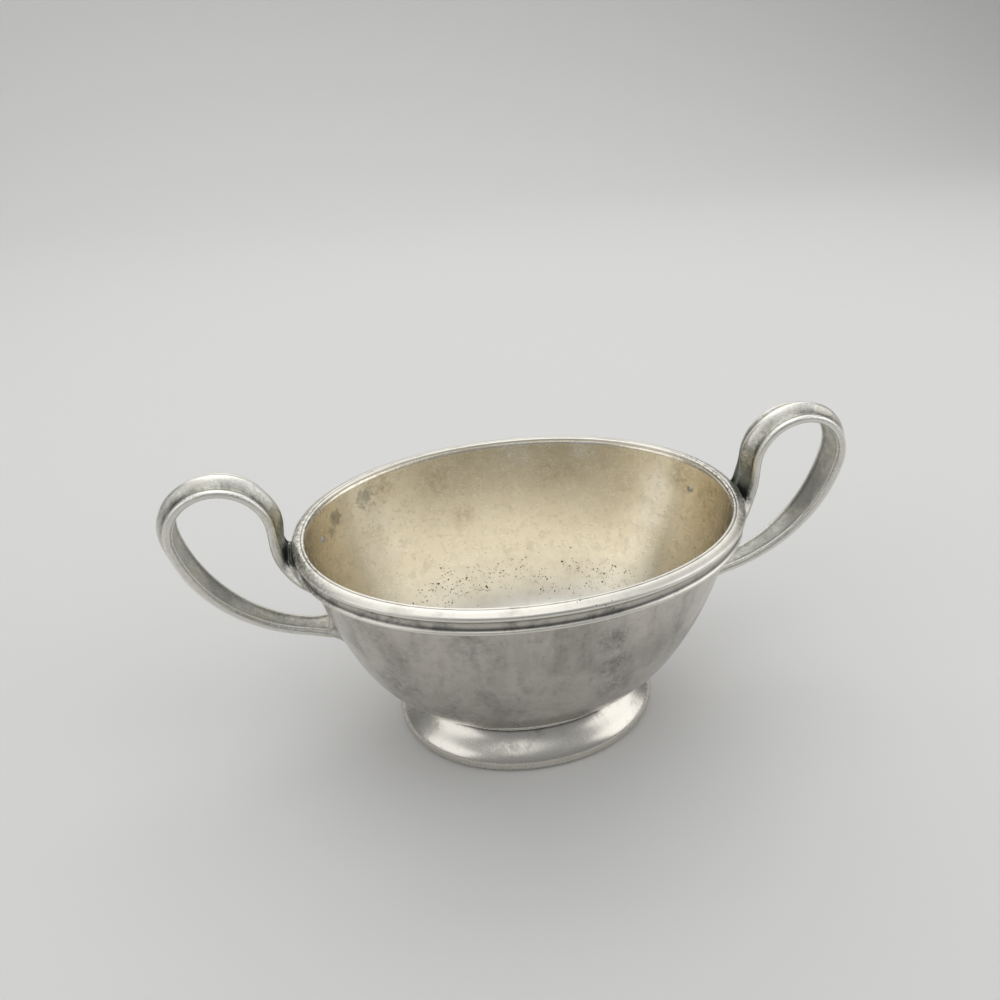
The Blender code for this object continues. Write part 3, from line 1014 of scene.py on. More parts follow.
class MouldingTree:
    """Geometry Nodes that sweep a moulding's section round an oval."""

    def __init__(self) -> None:
        """Build the node group once for every moulding."""
        self.group = bpy.data.node_groups.new("moulding_round_an_oval", "GeometryNodeTree")
        face = self.group.interface
        self.sockets = {}
        for name, kind in (("Section", "NodeSocketObject"), ("Half Length", "NodeSocketFloat"),
                           ("Half Width", "NodeSocketFloat"), ("Fullness", "NodeSocketFloat"),
                           ("Steps", "NodeSocketInt"), ("Finish", "NodeSocketMaterial")):
            self.sockets[name] = face.new_socket(name, in_out="INPUT", socket_type=kind).identifier
        face.new_socket("Moulding", in_out="OUTPUT", socket_type="NodeSocketGeometry")
        self._build()

    def _node(self, kind: str, links: dict[str | int, Socket | float], **settings: object) -> bpy.types.Node:
        """Add a node, set its properties and join its inputs.

        Args:
            kind: The node's type.
            links: What each input takes, a socket or a constant.
            settings: The node's properties.

        Returns:
            The new node.
        """
        made = self.group.nodes.new(kind)
        for key, value in settings.items():
            setattr(made, key, value)
        for key, value in links.items():
            if isinstance(value, bpy.types.NodeSocket):
                self.group.links.new(value, made.inputs[key])
            else:
                made.inputs[key].default_value = value
        return made

    def _fuller(self, value: Socket, half: Socket, power: Socket) -> Socket:
        """Give a signed power of a circle's coordinate, times the oval's half size.

        Args:
            value: The coordinate.
            half: The oval's half length or half width.
            power: The power that makes the oval fuller than an ellipse.

        Returns:
            The oval's coordinate.
        """
        size = self._math("ABSOLUTE", value)
        raised = self._math("POWER", size, power)
        signed = self._math("MULTIPLY", raised, self._math("SIGN", value))
        return self._math("MULTIPLY", signed, half)

    def _math(self, operation: str, *values: Socket | float) -> Socket:
        """Add a math node and give its result."""
        return self._node("ShaderNodeMath", dict(enumerate(values)), operation=operation).outputs[0]

    def _build(self) -> None:
        """Lay out the tree: circle, oval, sweep, material."""
        given = self.group.nodes.new("NodeGroupInput").outputs
        circle = self._node("GeometryNodeCurvePrimitiveCircle",
                            {"Resolution": given["Steps"], "Radius": 1.0})
        power = self._math("DIVIDE", 2.0, given["Fullness"])
        spot = self.group.nodes.new("GeometryNodeInputPosition")
        parts = self._node("ShaderNodeSeparateXYZ", {0: spot.outputs[0]})
        place = self._node("ShaderNodeCombineXYZ",
                           {0: self._fuller(parts.outputs[0], given["Half Length"], power),
                            1: self._fuller(parts.outputs[1], given["Half Width"], power)})
        oval = self._node("GeometryNodeSetPosition",
                          {"Geometry": circle.outputs[0], "Position": place.outputs[0]})
        upright = self._node("GeometryNodeSetCurveNormal", {"Curve": oval.outputs[0]}, mode="Z_UP")
        section = self._node("GeometryNodeObjectInfo", {"Object": given["Section"]})
        outline = self._node("GeometryNodeMeshToCurve", {0: section.outputs["Geometry"]})
        sweep = self._node("GeometryNodeCurveToMesh",
                           {"Curve": upright.outputs[0], "Profile Curve": outline.outputs[0]})
        smooth = self._node("GeometryNodeSetShadeSmooth", {"Geometry": sweep.outputs[0]})
        real = self._node("GeometryNodeRealizeInstances", {"Geometry": smooth.outputs[0]})
        dressed = self._node("GeometryNodeSetMaterial",
                             {"Geometry": real.outputs[0], "Material": given["Finish"]})
        self._node("NodeGroupOutput", {0: dressed.outputs[0]})

    def sweep(self, name: str, section: Line, halves: Halves, plan: OvalPlan,
              finish: bpy.types.Material) -> bpy.types.Object:
        """Sweep a closed section round an oval.

        Args:
            name: The piece's name.
            section: The section as (outset from the oval, height) points.
            halves: The oval's half length and half width.
            plan: The oval's shape and steps.
            finish: The moulding's material.

        Returns:
            The moulding as a plain mesh.
        """
        loop = bpy.data.meshes.new(f"{name}_section")
        loop.from_pydata([(out * MM, -height * MM, 0.0) for out, height in section],
                         [(step, (step + 1) % len(section)) for step in range(len(section))], [])
        mark(loop, hollow_marks(np.array(section)))
        guide = bpy.data.objects.new(f"{name}_section", loop)
        item = bpy.data.objects.new(name, bpy.data.meshes.new(f"{name}_start"))
        for made in (guide, item):
            bpy.context.scene.collection.objects.link(made)
        modifier = item.modifiers.new("moulding", "NODES")
        modifier.node_group = self.group
        for key, value in (("Section", guide), ("Half Length", halves.length * MM),
                           ("Half Width", halves.width * MM), ("Fullness", plan.fullness),
                           ("Steps", plan.steps), ("Finish", finish)):
            modifier[self.sockets[key]] = value
        depsgraph = bpy.context.evaluated_depsgraph_get()
        solid = bpy.data.meshes.new_from_object(item.evaluated_get(depsgraph))
        item.modifiers.remove(modifier)
        item.data = solid
        item.data.name = name
        bpy.data.objects.remove(guide)
        point_outwards(item)
        return item


@dataclass
class DrawnBowl:
    """The thin drawn body: wall and floor, straw-tarnished inside and worn outside."""

    curve: WallCurve
    wall: float = 1.2
    rows: int = 84
    crowding: float = 2.2
    floor_rings: int = 10
    swell_depth: float = 0.10
    swell_span: float = 18.0
    swell_seed: float = 1.7
    swell_rise: float = 8.0
    inside: InsideFinish = field(default_factory=InsideFinish)
    outside: OutsideFinish = field(default_factory=OutsideFinish)

    def build(self) -> bpy.types.Object:
        """Loft the outer skin up to the mouth and the inner skin back down.

        Returns:
            The body as one closed mesh.
        """
        plan = self.curve.plan
        climbs = (np.arange(self.rows + 1) / self.rows) ** self.crowding
        outer = []
        inner = []
        for share in np.arange(1, self.floor_rings) / self.floor_rings:
            spread = Halves(*(share * half for half in self.curve.floor_halves))
            outer.append(plan.ring(spread, self.curve.floor))
            inner.append(plan.ring(spread, self.curve.floor + self.wall, -self.wall * share))
        for climb in climbs:
            height = self.curve.floor + (self.curve.top - self.curve.floor) * climb
            halves = self.curve.halves(height)
            outer.append(plan.ring(halves, height))
            inner.append(plan.ring(halves, height + self.wall * (1.0 - climb), -self.wall))
        rings = np.array(outer + inner[::-1])
        points = rings.reshape(-1, 3)
        outward = points * np.array((1.0, 1.0, 0.0))
        outward /= np.maximum(np.linalg.norm(outward, axis=1, keepdims=True), 1.0)
        calm = smooth_step((points[:, 2] - self.curve.floor) / self.swell_rise)
        outward *= calm[:, None]
        points = uneven(points, outward, self.swell_depth, self.swell_span, self.swell_seed)
        poles = np.array([[0.0, 0.0, self.curve.floor], [0.0, 0.0, self.curve.floor + self.wall]])
        faces = skin_faces(len(rings), plan.steps, False)
        first_pole = len(points)
        last_row = len(points) - plan.steps
        for step in range(plan.steps):
            after = (step + 1) % plan.steps
            faces.append((first_pole, after, step))
            faces.append((first_pole + 1, last_row + step, last_row + after))
        item = make_mesh("drawn_bowl", np.vstack((points, poles)), faces)
        self._mark_inside(item, len(outer) * plan.steps, first_pole)
        point_outwards(item)
        return item

    def _mark_inside(self, item: bpy.types.Object, first_inner: int, first_pole: int) -> None:
        """Give the faces of the inner skin the second material.

        Args:
            item: The body.
            first_inner: The inner skin's first point.
            first_pole: The point in the middle of the outer floor.
        """
        for face in item.data.polygons:
            held = [corner for corner in face.vertices if corner != first_pole]
            face.material_index = int(min(held) >= first_inner)

    def dress(self, item: bpy.types.Object) -> None:
        """Give the outside and inside their finishes and set the body on the frame.

        Args:
            item: The body.
        """
        item.data.materials.append(self.outside.material())
        item.data.materials.append(self.inside.material())
        settle(item, Slot.BODY, "bowl_body")


@dataclass
class MouldedRim:
    """The rim wire: a rounded lip over the mouth, a cove, and a bead against the wall."""

    curve: WallCurve
    halves: Halves
    top: float
    underside: float
    lip_width: float = 3.3
    lip_edge: float = 0.45
    lip_fall: float = 0.55
    lip_tilt: float = 30.0
    lip_start: tuple[float, float] = (0.27, -0.04)
    lip_swell: tuple[tuple[float, float], ...] = ((0.54, -0.05), (0.95, 0.06))
    lip_roll: float = 0.75
    lip_steps: int = 14
    hook: tuple[tuple[float, float], ...] = ((0.5, -0.3), (0.0, -0.16), (-0.06, -0.06), (-0.07, 0.25),
                                             (0.0, 0.5), (0.12, 0.67))
    joint: tuple[tuple[float, float], ...] = ((0.16, 0.05), (0.28, 0.14), (0.38, 0.14), (0.46, 0.12))
    nose_radius: float = 0.9
    nose_end: float = -25.0
    cove_reach: float = 1.6
    cove_ease: float = 0.4
    cove_drop: float = 0.2
    cove_rise: float = 0.7
    cove_steps: int = 18
    bead_radius: float = 0.55
    bead_inset: float = 0.35
    bead_wrap: tuple[float, float] = (60.0, -100.0)
    bead_steps: int = 16
    quirk: float = 0.28
    quirk_rise: float = 0.12
    tuck: float = 0.5
    tuck_rise: float = 0.3
    seam_leg: float = 0.6
    seam_rise: float = 0.2
    seam_ease: float = 0.1
    seam_hollow: float = 0.35
    seam_drop: float = 0.4
    seam_steps: int = 8
    seam_tarnish: float = 0.3

    def section(self) -> Line:
        """Give the closed section.

        Returns:
            (outset from the mouth, height) points: over the mouth, the lip, the cove and the bead.
        """
        inner = [(out, self.curve.top + rise) for out, rise in self.hook]
        inner += [(self.lip_start[0], self.top + self.lip_start[1]), (self.lip_edge, self.top)]
        joint = [(self.lip_edge + out, self.top - drop) for out, drop in self.joint]
        nose = (self.lip_width - self.nose_radius, self.top - self.lip_fall - self.nose_radius)
        turned = arc(nose, self.nose_radius, 90.0 - self.lip_tilt, self.nose_end, self.lip_steps)
        tilt = math.radians(self.lip_tilt)
        foot = (turned[0][0] - self.lip_roll * math.cos(tilt), turned[0][1] + self.lip_roll * math.sin(tilt))
        swell = [(self.lip_edge + out, self.top + rise) for out, rise in self.lip_swell]
        roll = bezier(swell + [foot, turned[0]], self.lip_steps)
        middle = (self.lip_width - self.bead_inset - self.bead_radius, self.underside + self.bead_radius)
        bead = arc(middle, self.bead_radius, *self.bead_wrap, self.bead_steps)
        hollow = self.lip_width - self.cove_reach
        cove = bezier([turned[-1], (hollow + self.cove_ease, turned[-1][1] - self.cove_drop),
                       (hollow, bead[0][1] + self.cove_rise), bead[0]], self.cove_steps)
        wall = self.curve.halves(self.underside).length - self.mouth.length
        under = [(wall + self.quirk, self.underside + self.quirk_rise),
                 (wall - self.tuck, self.underside + self.tuck_rise)]
        return inner + joint + roll[:-1] + turned + cove[1:-1] + bead + under

    @property
    def mouth(self) -> Halves:
        """The oval that the section's outsets start from."""
        return Halves(self.halves.length - self.lip_width, self.halves.width - self.lip_width)

    def seam_section(self) -> Line:
        """Give the solder fillet in the corner between the bead and the wall.

        Returns:
            (outset from the wall, height) points of the closed section.
        """
        top = self.underside + self.seam_rise
        toe = self.underside - self.seam_leg
        arch = bezier([(self.seam_leg, top), (self.seam_hollow, top - self.seam_ease),
                       (self.seam_ease, toe + self.seam_hollow), (0.0, toe)], self.seam_steps)
        return arch + [(-self.tuck, toe), (-self.tuck, top)]

    def build(self, tree: MouldingTree) -> tuple[bpy.types.Object, bpy.types.Object]:
        """Sweep the rim and its solder seam round the mouth.

        Args:
            tree: The Geometry Nodes that sweep a moulding.

        Returns:
            The rim and the seam.
        """
        finish = MouldingFinish("rubbed_rim_plate").material()
        rim = tree.sweep("moulded_rim", self.section(), self.mouth, self.curve.plan, finish)
        level = self.curve.halves(self.underside - self.seam_drop)
        seam = tree.sweep("rim_seam", self.seam_section(), level, self.curve.plan,
                          SolderFinish("rim_solder", self.seam_tarnish).material())
        return rim, seam

    def dress(self, rim: bpy.types.Object, seam: bpy.types.Object) -> None:
        """Set both pieces on the frame."""
        settle(rim, Slot.RIM, "rim_band")
        settle(seam, Slot.SOLDER, "rim_solder_seam")


@dataclass
class SpreadingFoot:
    """The hollow foot: rounded edge, ogee flank, a fine thread and a beaded collar."""

    curve: WallCurve
    halves: Halves
    edge_radius: float = 2.3
    edge_turn: float = 90.0
    edge_steps: int = 14
    wall: float = 1.4
    base_flat: float = 1.6
    collar_inset: float = 6.0
    collar_bead: float = 0.5
    bead_wrap: tuple[float, float] = (-70.0, 80.0)
    bead_steps: int = 10
    thread: float = 0.3
    thread_inset: float = 0.1
    thread_wrap: tuple[float, float] = (-80.0, 80.0)
    thread_steps: int = 8
    shoulder_rise: float = 3.0
    neck_sweep: float = 1.6
    neck_drop: float = 3.0
    flank_steps: int = 30
    collar_top: float = 11.0
    sink: float = 0.55
    seam_leg: float = 1.3
    seam_sink: float = 0.2
    seam_ease: float = 0.1
    seam_depth: float = 0.75
    seam_steps: int = 8
    silver: Colour = (0.68, 0.65, 0.59, 1.0)
    roughness: tuple[float, float] = (0.22, 0.38)

    def section(self) -> Line:
        """Give the closed section.

        Returns:
            (outset from the foot's edge, height) points: the edge, the flank, the collar and the inside.
        """
        edge = arc((-self.edge_radius, self.edge_radius), self.edge_radius, -90.0, self.edge_turn - 90.0,
                   self.edge_steps)
        neck = (-self.collar_inset - self.collar_bead, self.collar_top - 3.0 * self.collar_bead)
        shoulder = edge[-1]
        flank = bezier([shoulder, (shoulder[0], shoulder[1] + self.shoulder_rise),
                        (neck[0] + self.neck_sweep, neck[1] - self.neck_drop), neck], self.flank_steps)
        thread_middle = (neck[0] - self.thread_inset, neck[1] + self.thread)
        thread = arc(thread_middle, self.thread, *self.thread_wrap, self.thread_steps)
        bead_middle = (neck[0], neck[1] + 2.0 * self.thread + self.collar_bead)
        bead = arc(bead_middle, self.collar_bead, *self.bead_wrap, self.bead_steps)
        buried = [(neck[0], self.collar_top + self.sink), (neck[0] - self.wall, self.collar_top + self.sink)]
        inner_base = -self.edge_radius - self.base_flat
        inside = [(min(out - self.wall, inner_base), height - 0.5 * self.wall)
                  for out, height in flank[::-1]]
        return edge + flank[1:] + thread + bead + buried + inside + [(inner_base, 0.0)]

    def seam_section(self) -> Line:
        """Give the solder fillet in the corner between the collar and the floor.

        Returns:
            (outset from the foot's edge, height) points of the closed section.
        """
        corner = -self.collar_inset - self.collar_bead - self.wall
        top = self.collar_top + self.seam_sink
        under = top - self.seam_depth
        toe = corner - 2.0 * self.seam_leg
        back = corner + self.seam_sink
        arch = bezier([(back, top - 2.0 * self.seam_leg),
                       (corner - self.seam_ease, top - 0.9 * self.seam_leg),
                       (corner - 0.5 * self.seam_leg, under), (toe, under)], self.seam_steps)
        return arch + [(toe, top), (back, top)]

    def build(self, tree: MouldingTree) -> tuple[bpy.types.Object, bpy.types.Object]:
        """Sweep the foot and the solder seam inside its collar.

        Args:
            tree: The Geometry Nodes that sweep a moulding.

        Returns:
            The foot and the seam.
        """
        finish = MouldingFinish("satin_foot_plate", self.silver, roughness=self.roughness).material()
        foot = tree.sweep("spreading_foot", self.section(), self.halves, self.curve.plan, finish)
        seam = tree.sweep("foot_seam", self.seam_section(), self.halves, self.curve.plan,
                          SolderFinish("foot_solder").material())
        return foot, seam

    def dress(self, foot: bpy.types.Object, seam: bpy.types.Object) -> None:
        """Set both pieces on the frame."""
        settle(foot, Slot.FOOT, "foot_ring")
        settle(seam, Slot.SOLDER, "foot_solder_seam")


class Stretch(NamedTuple):
    """One arc of the strap's line, from one angle to another, with what the strap is at both ends."""

    centre: tuple[float, float]
    radius: float
    start: float
    end: float
    steps: int
    widths: tuple[float, float]
    thicknesses: tuple[float, float]
    crowns: tuple[float, float]
    hugs: tuple[float, float] = (0.0, 0.0)


@dataclass(frozen=True)
class StrapSection:
    """The strap's section: a crowned face that hollows down to rounded beads, and a hollow back."""

    trough_inset: float = 1.9
    trough_share: float = 0.40
    trough_depth: float = 0.16
    edge_round: float = 0.45
    back_border: float = 1.5
    back_hollow: float = 0.28
    corner_points: int = 8
    bead_points: int = 9
    face_points: int = 17
    border_points: int = 7
    hollow_points: int = 8
    inner_from: float = 0.3
    inner_fade: float = 0.4
    inner_clearing: float = 0.85
    tarnish: float = 0.85
    tarnish_place: float = 1.3
    tarnish_reach: float = 1.0
    crest_highlight: float = 0.9
    crest_share: float = 0.28

    def outline(self, width: float, thickness: float,
                crown: float) -> tuple[np.ndarray, dict[Trace, np.ndarray]]:
        """Give the section's points and what each of them is.

        Args:
            width: The strap's width here.
            thickness: Its thickness at the beads.
            crown: How far the face rises over the beads.

        Returns:
            (across, outward) points, and the traces for the finish.
        """
        half = width / 2.0
        rounding = self.edge_round * thickness
        trough = min(self.trough_inset, self.trough_share * half)
        turns = np.linspace(0.0, 0.5 * math.pi, self.corner_points)
        beads = np.linspace(rounding, trough, self.bead_points)[1:]
        face = np.linspace(trough, half, self.face_points)[1:]
        corner_inset = rounding * (1.0 - np.cos(turns))
        inset = np.concatenate((corner_inset, beads, face))
        corner = rounding * (1.0 - np.sin(turns))
        dip = self.trough_depth * smooth_step((beads - rounding) / (trough - rounding))
        share = (half - face) / (half - trough)
        rise = 0.5 * (crown + self.trough_depth) * (1.0 + np.cos(math.pi * share)) - self.trough_depth
        near = np.column_stack((half - inset, np.concatenate((-corner, -dip, rise))))
        border = np.linspace(rounding, rounding + self.back_border, self.border_points)[1:]
        hollow = np.linspace(border[-1], half, self.hollow_points)[1:]
        back_inset = np.concatenate((corner_inset, border, hollow))
        back_corner = np.concatenate((corner, np.zeros(len(border) + len(hollow))))
        dish = self.back_hollow * smooth_step((back_inset - rounding) / self.back_border)
        back = np.column_stack((half - back_inset, -thickness + back_corner + dish))
        mirror = np.array((-1.0, 1.0))
        points = np.vstack((near, (near * mirror)[-2::-1], back * mirror, back[-2::-1]))
        marks = hollow_marks(points)
        below = -self.inner_from * thickness - points[:, 1]
        inner = np.clip(below / (self.inner_fade * thickness), 0.0, 1.0)
        flank = half - np.abs(points[:, 0]) - self.tarnish_place * trough
        shaded = self.tarnish * np.exp(-(flank / self.tarnish_reach) ** 2)
        # A painted highlight along the middle of the face, added to the ridge trace.
        ridge = np.exp(-(points[:, 0] / (self.crest_share * half)) ** 2)
        crest = self.crest_highlight * ridge * (points[:, 1] > 0.0)
        marks[Trace.EDGE] = np.maximum(marks[Trace.EDGE], crest)
        marks[Trace.GROOVE] = np.maximum(marks[Trace.GROOVE], shaded) * (1.0 - self.inner_clearing * inner)
        marks[Trace.INNER] = inner
        return points, marks


@dataclass
class StrapHandle:
    """A cast strap handle at one end: fanned root, riser, loop and sweep back to the wall."""

    end: End
    skin: BowlSkin
    top: float
    standoff: float = 2.6
    spring_above_rim: float = 6.5
    loop_overrun: float = 8.6
    sweep_radius: float = 40.0
    riser_radius: float = 34.0
    riser_lean: float = 14.1
    root_radius: float = 8.0
    root_turn: float = 66.0
    lower_root_reach: float = 13.0
    landing_depth: float = 4.0
    strap_width: float = 10.5
    sweep_width: float = 7.2
    fan_width: float = 28.0
    fan_neck_width: float = 11.2
    fan_hug: float = 0.45
    lower_root_width: float = 12.0
    strap_thickness: float = 2.1
    side_thickness: float = 2.4
    riser_thickness: float = 2.2
    loop_crown: float = 1.78
    sweep_crown: float = 1.0
    root_crown: float = 0.5
    fan_thickness: float = 2.8
    fan_edge_thickness: float = 1.2
    lower_root_thickness: float = 2.5
    bury: float = 0.9
    fit_reach: float = 16.0
    root_steps: int = 26
    riser_steps: int = 16
    loop_steps: int = 42
    sweep_steps: int = 48
    flare_steps: int = 30
    loop_crest: float = 85.0
    sweep_limit: float = -100.0
    landing_step: float = 0.25
    upper_climb: tuple[float, float] = (1.2, 1.35)
    upper_spread: tuple[float, float] = (1.2, 0.7)
    upper_depth: float = 1.4
    lower_climb: float = 2.6
    lower_spread: float = 2.2
    lower_depth: float = 0.6
    solder_calm: int = 6
    solder_flat: float = 0.45
    solder_proud: float = 0.03
    solder_rows: int = 8
    solder_tuck: float = 0.3
    solder_sink: float = 0.5
    solder_swell_depth: float = 0.05
    solder_swell_span: float = 2.0
    solder_swell_seed: float = 9.0
    root_darkening: float = 24.0
    outer_side_darkening: float = 0.1
    darkening_core: float = 0.3
    darkening_fade: float = 0.4
    end_calm: float = 0.8
    swell_depth: float = 0.10
    swell_span: float = 7.0
    swell_seed: float = 4.0
    section: StrapSection = field(default_factory=StrapSection)

    def stretches(self) -> list[Stretch]:
        """Lay out the strap's line in the plane of X and Z.

        Returns:
            Its stretches, from the upper root to the lower one.
        """
        riser_x = self.skin.rim.length + self.standoff
        spring = self.skin.rim_top + self.spring_above_rim
        loop_radius = self.top - spring - self.loop_crown - 0.5 * self.swell_depth
        riser_centre = (riser_x - self.riser_radius, spring)
        join = arc(riser_centre, self.riser_radius, -self.riser_lean, 0.0, 1)[0]
        lean = math.radians(self.riser_lean)
        root_centre = (join[0] - self.root_radius * math.cos(lean),
                       join[1] + self.root_radius * math.sin(lean))
        overrun = math.radians(self.loop_overrun)
        back_off = loop_radius - self.sweep_radius
        loop_centre = (riser_x + loop_radius, spring)
        sweep_centre = (loop_centre[0] + back_off * math.cos(overrun),
                        loop_centre[1] - back_off * math.sin(overrun))
        landing = self._landing(sweep_centre)
        flare = landing + math.degrees(self.lower_root_reach / self.sweep_radius)
        return [
            Stretch(root_centre, self.root_radius, -self.riser_lean - self.root_turn, -self.riser_lean,
                    self.root_steps, (self.fan_width, self.fan_neck_width),
                    (self.fan_edge_thickness, self.fan_thickness),
                    (self.root_crown, self.root_crown), (1.0, self.fan_hug)),
            Stretch(riser_centre, self.riser_radius, -self.riser_lean, 0.0, self.riser_steps,
                    (self.fan_neck_width, self.strap_width), (self.fan_thickness, self.riser_thickness),
                    (self.root_crown, self.loop_crown), (self.fan_hug, 0.0)),
            Stretch(loop_centre, loop_radius, 180.0, self.loop_crest, self.loop_steps,
                    (self.strap_width, self.strap_width), (self.riser_thickness, self.strap_thickness),
                    (self.loop_crown, self.loop_crown)),
            Stretch(loop_centre, loop_radius, self.loop_crest, -self.loop_overrun, self.loop_steps,
                    (self.strap_width, self.strap_width), (self.strap_thickness, self.side_thickness),
                    (self.loop_crown, self.loop_crown)),
            Stretch(sweep_centre, self.sweep_radius, -self.loop_overrun, flare, self.sweep_steps,
                    (self.strap_width, self.sweep_width), (self.side_thickness, self.strap_thickness),
                    (self.loop_crown, self.sweep_crown)),
            Stretch(sweep_centre, self.sweep_radius, flare, landing, self.flare_steps,
                    (self.sweep_width, self.lower_root_width),
                    (self.strap_thickness, self.lower_root_thickness),
                    (self.sweep_crown, self.root_crown)),
        ]

    def _landing(self, centre: tuple[float, float]) -> float:
        """Find where the sweep's line has run a root's depth into the wall.

        Args:
            centre: The sweep's centre.

        Returns:
            The angle there, in degrees.
        """
        angles = np.arange(-self.loop_overrun, self.sweep_limit, -self.landing_step)
        x = centre[0] + self.sweep_radius * np.cos(np.radians(angles))
        z = centre[1] + self.sweep_radius * np.sin(np.radians(angles))
        inside = x < self.skin.curve.halves(z).length - self.landing_depth
        return float(angles[np.argmax(inside)])

    def lines(self) -> tuple[np.ndarray, np.ndarray, np.ndarray, dict[Trace, np.ndarray]]:
        """Sweep the section along the stretches, before the ends are fitted to the bowl.

        Returns:
            Points and outward directions, one row a station; each station's distance; traces.
        """
        spots = []
        sizes = []
        for stretch in self.stretches():
            line = arc(stretch.centre, stretch.radius, stretch.start, stretch.end, stretch.steps)
            pairs = (stretch.widths, stretch.thicknesses, stretch.crowns, stretch.hugs)
            for step, spot in enumerate(line):
                ease = smooth_step(step / stretch.steps)
                if step or not spots:
                    spots.append(spot)
                    sizes.append([pair[0] + (pair[1] - pair[0]) * ease for pair in pairs])
        path = np.array(spots)
        distance = np.concatenate(([0.0], np.cumsum(np.linalg.norm(np.diff(path, axis=0), axis=1))))
        tangent = np.gradient(path, distance, axis=0)
        tangent /= np.linalg.norm(tangent, axis=1, keepdims=True)
        rows = []
        normals = []
        traces: dict[Trace, list[np.ndarray]] = {Trace.GROOVE: [], Trace.EDGE: [], Trace.INNER: []}
        for spot, heading, (width, thickness, crown, hug) in zip(path, tangent, sizes):
            points, marks = self.section.outline(width, thickness, crown)
            outward = np.array((-heading[1], 0.0, heading[0]))
            row = np.array((spot[0], 0.0, spot[1])) + points[:, 1:] * outward
            row[:, 0] -= hug * self._recess(points[:, 0])
            row[:, 1] = points[:, 0]
            along = np.roll(points, -1, axis=0) - np.roll(points, 1, axis=0)
            flat = np.column_stack((along[:, 1], -along[:, 0]))
            flat /= np.maximum(np.linalg.norm(flat, axis=1, keepdims=True), 1e-9)
            facing = flat[:, 1:] * outward
            facing[:, 1] = flat[:, 0]
            rows.append(row)
            normals.append(facing)
            for trace, values in marks.items():
                traces[trace].append(values)
        marks = {key: np.array(value) for key, value in traces.items()}
        return np.array(rows), np.array(normals), distance, marks

    def _recess(self, across: np.ndarray) -> np.ndarray:
        """Give how far the rim has curved back beside the long axis.

        Args:
            across: Distances from the long axis.

        Returns:
            How far the rim lies back from its end at each.
        """
        power = self.skin.curve.plan.fullness
        share = np.minimum(np.abs(across) / self.skin.rim.width, 1.0)
        return self.skin.rim.length * (1.0 - (1.0 - share ** power) ** (1.0 / power))

    def build(self) -> tuple[bpy.types.Object, list[bpy.types.Object]]:
        """Fit the strap's ends to the bowl and fill their corners with solder.

        Returns:
            The handle, and its upper and lower solder.
        """
        grid, normals, distance, traces = self.lines()
        count = grid.shape[1]
        clear = self.skin.clearance(grid)
        start = np.empty(count)
        finish = np.empty(count)
        middle = len(distance) // 2
        for line in range(count):
            inside = np.nonzero(clear[:middle, line] < 0.0)[0]
            last = inside[-1] if len(inside) else 0
            start[line] = np.interp(0.0, clear[last:last + 2, line], distance[last:last + 2])
            inside = np.nonzero(clear[middle:, line] < 0.0)[0]
            first = middle + (inside[0] if len(inside) else len(distance) - 1 - middle)
            finish[line] = np.interp(0.0, clear[first - 1:first + 1, line][::-1],
                                     distance[first - 1:first + 1][::-1])
        fitted, marks = self._fit(grid, distance, traces, start - self.bury, finish + self.bury)
        upright = self.root_steps + self.riser_steps - 2
        # The root's darkening stays mostly on the side facing the bowl: partly tarnish, partly painted
        # shade.
        bowl_side = np.clip(-normals[upright, :, 0], 0.0, 1.0)
        sided = self.outer_side_darkening + (1.0 - self.outer_side_darkening) * bowl_side
        marks[Trace.ROOT] *= sided * self._notch_darkening(fitted[:, :, 1])
        across = np.array([np.interp(start[line], distance, grid[:, line, 1]) for line in range(count)])
        word = self.end.name.lower()
        handle = self._strap(f"{word}_strap_handle", fitted, marks)
        climb, spread = (least + more * bowl_side for least, more in (self.upper_climb, self.upper_spread))
        upper = self._solder(f"{word}_upper_fillet", grid, normals, distance, start, 1.0, climb, spread,
                             self.upper_depth)
        notch = bowl_side * self._notch_darkening(across)
        mark(upper.data, {Trace.ROOT: np.tile(notch, len(upper.data.vertices) // count)})
        lower = self._solder(f"{word}_lower_fillet", grid, normals, distance, finish, -1.0,
                             np.full(count, self.lower_climb), np.full(count, self.lower_spread),
                             self.lower_depth)
        return handle, [upper, lower]

    def _notch_darkening(self, across: np.ndarray) -> np.ndarray:
        """Give how far across from the long axis the notch's darkening reaches: partly tarnish, partly
        painted shade.
        """
        share = np.abs(across) / self.fan_neck_width
        return 1.0 - smooth_step((share - self.darkening_core) / self.darkening_fade)

    def _fit(self, grid: np.ndarray, distance: np.ndarray, traces: dict[Trace, np.ndarray],
             low: np.ndarray, high: np.ndarray) -> tuple[np.ndarray, dict[Trace, np.ndarray]]:
        """Read every line again between its own two ends.

        Args:
            grid: The strap's points, one row a station.
            distance: Each station's distance.
            traces: What each point is.
            low: Where each line starts.
            high: Where each line ends.

        Returns:
            The fitted points and traces.
        """
        total = distance[-1]
        reach = self.fit_reach
        head = smooth_step(1.0 - distance / reach)
        tail = smooth_step((distance - total + reach) / reach)
        fitted = np.empty_like(grid)
        marks = {key: np.empty_like(value) for key, value in traces.items()}
        marks[Trace.ROOT] = np.empty_like(traces[Trace.EDGE])
        for line in range(grid.shape[1]):
            shares = np.clip(distance / reach, 0.0, 1.0)
            where = np.where(distance < reach, low[line] + (reach - low[line]) * shares, distance)
            shares = np.clip((distance - total + reach) / reach, 0.0, 1.0)
            where = np.where(distance > total - reach,
                             total - reach + (high[line] - total + reach) * shares, where)
            for axis in range(3):
                fitted[:, line, axis] = np.interp(where, distance, grid[:, line, axis])
            for key, value in traces.items():
                calm = 1.0 - self.end_calm * np.maximum(head, tail)
                marks[key][:, line] = np.interp(where, distance, value[:, line]) * calm
            marks[Trace.ROOT][:, line] = 1.0 - smooth_step((where - low[line]) / self.root_darkening)
        return fitted, marks

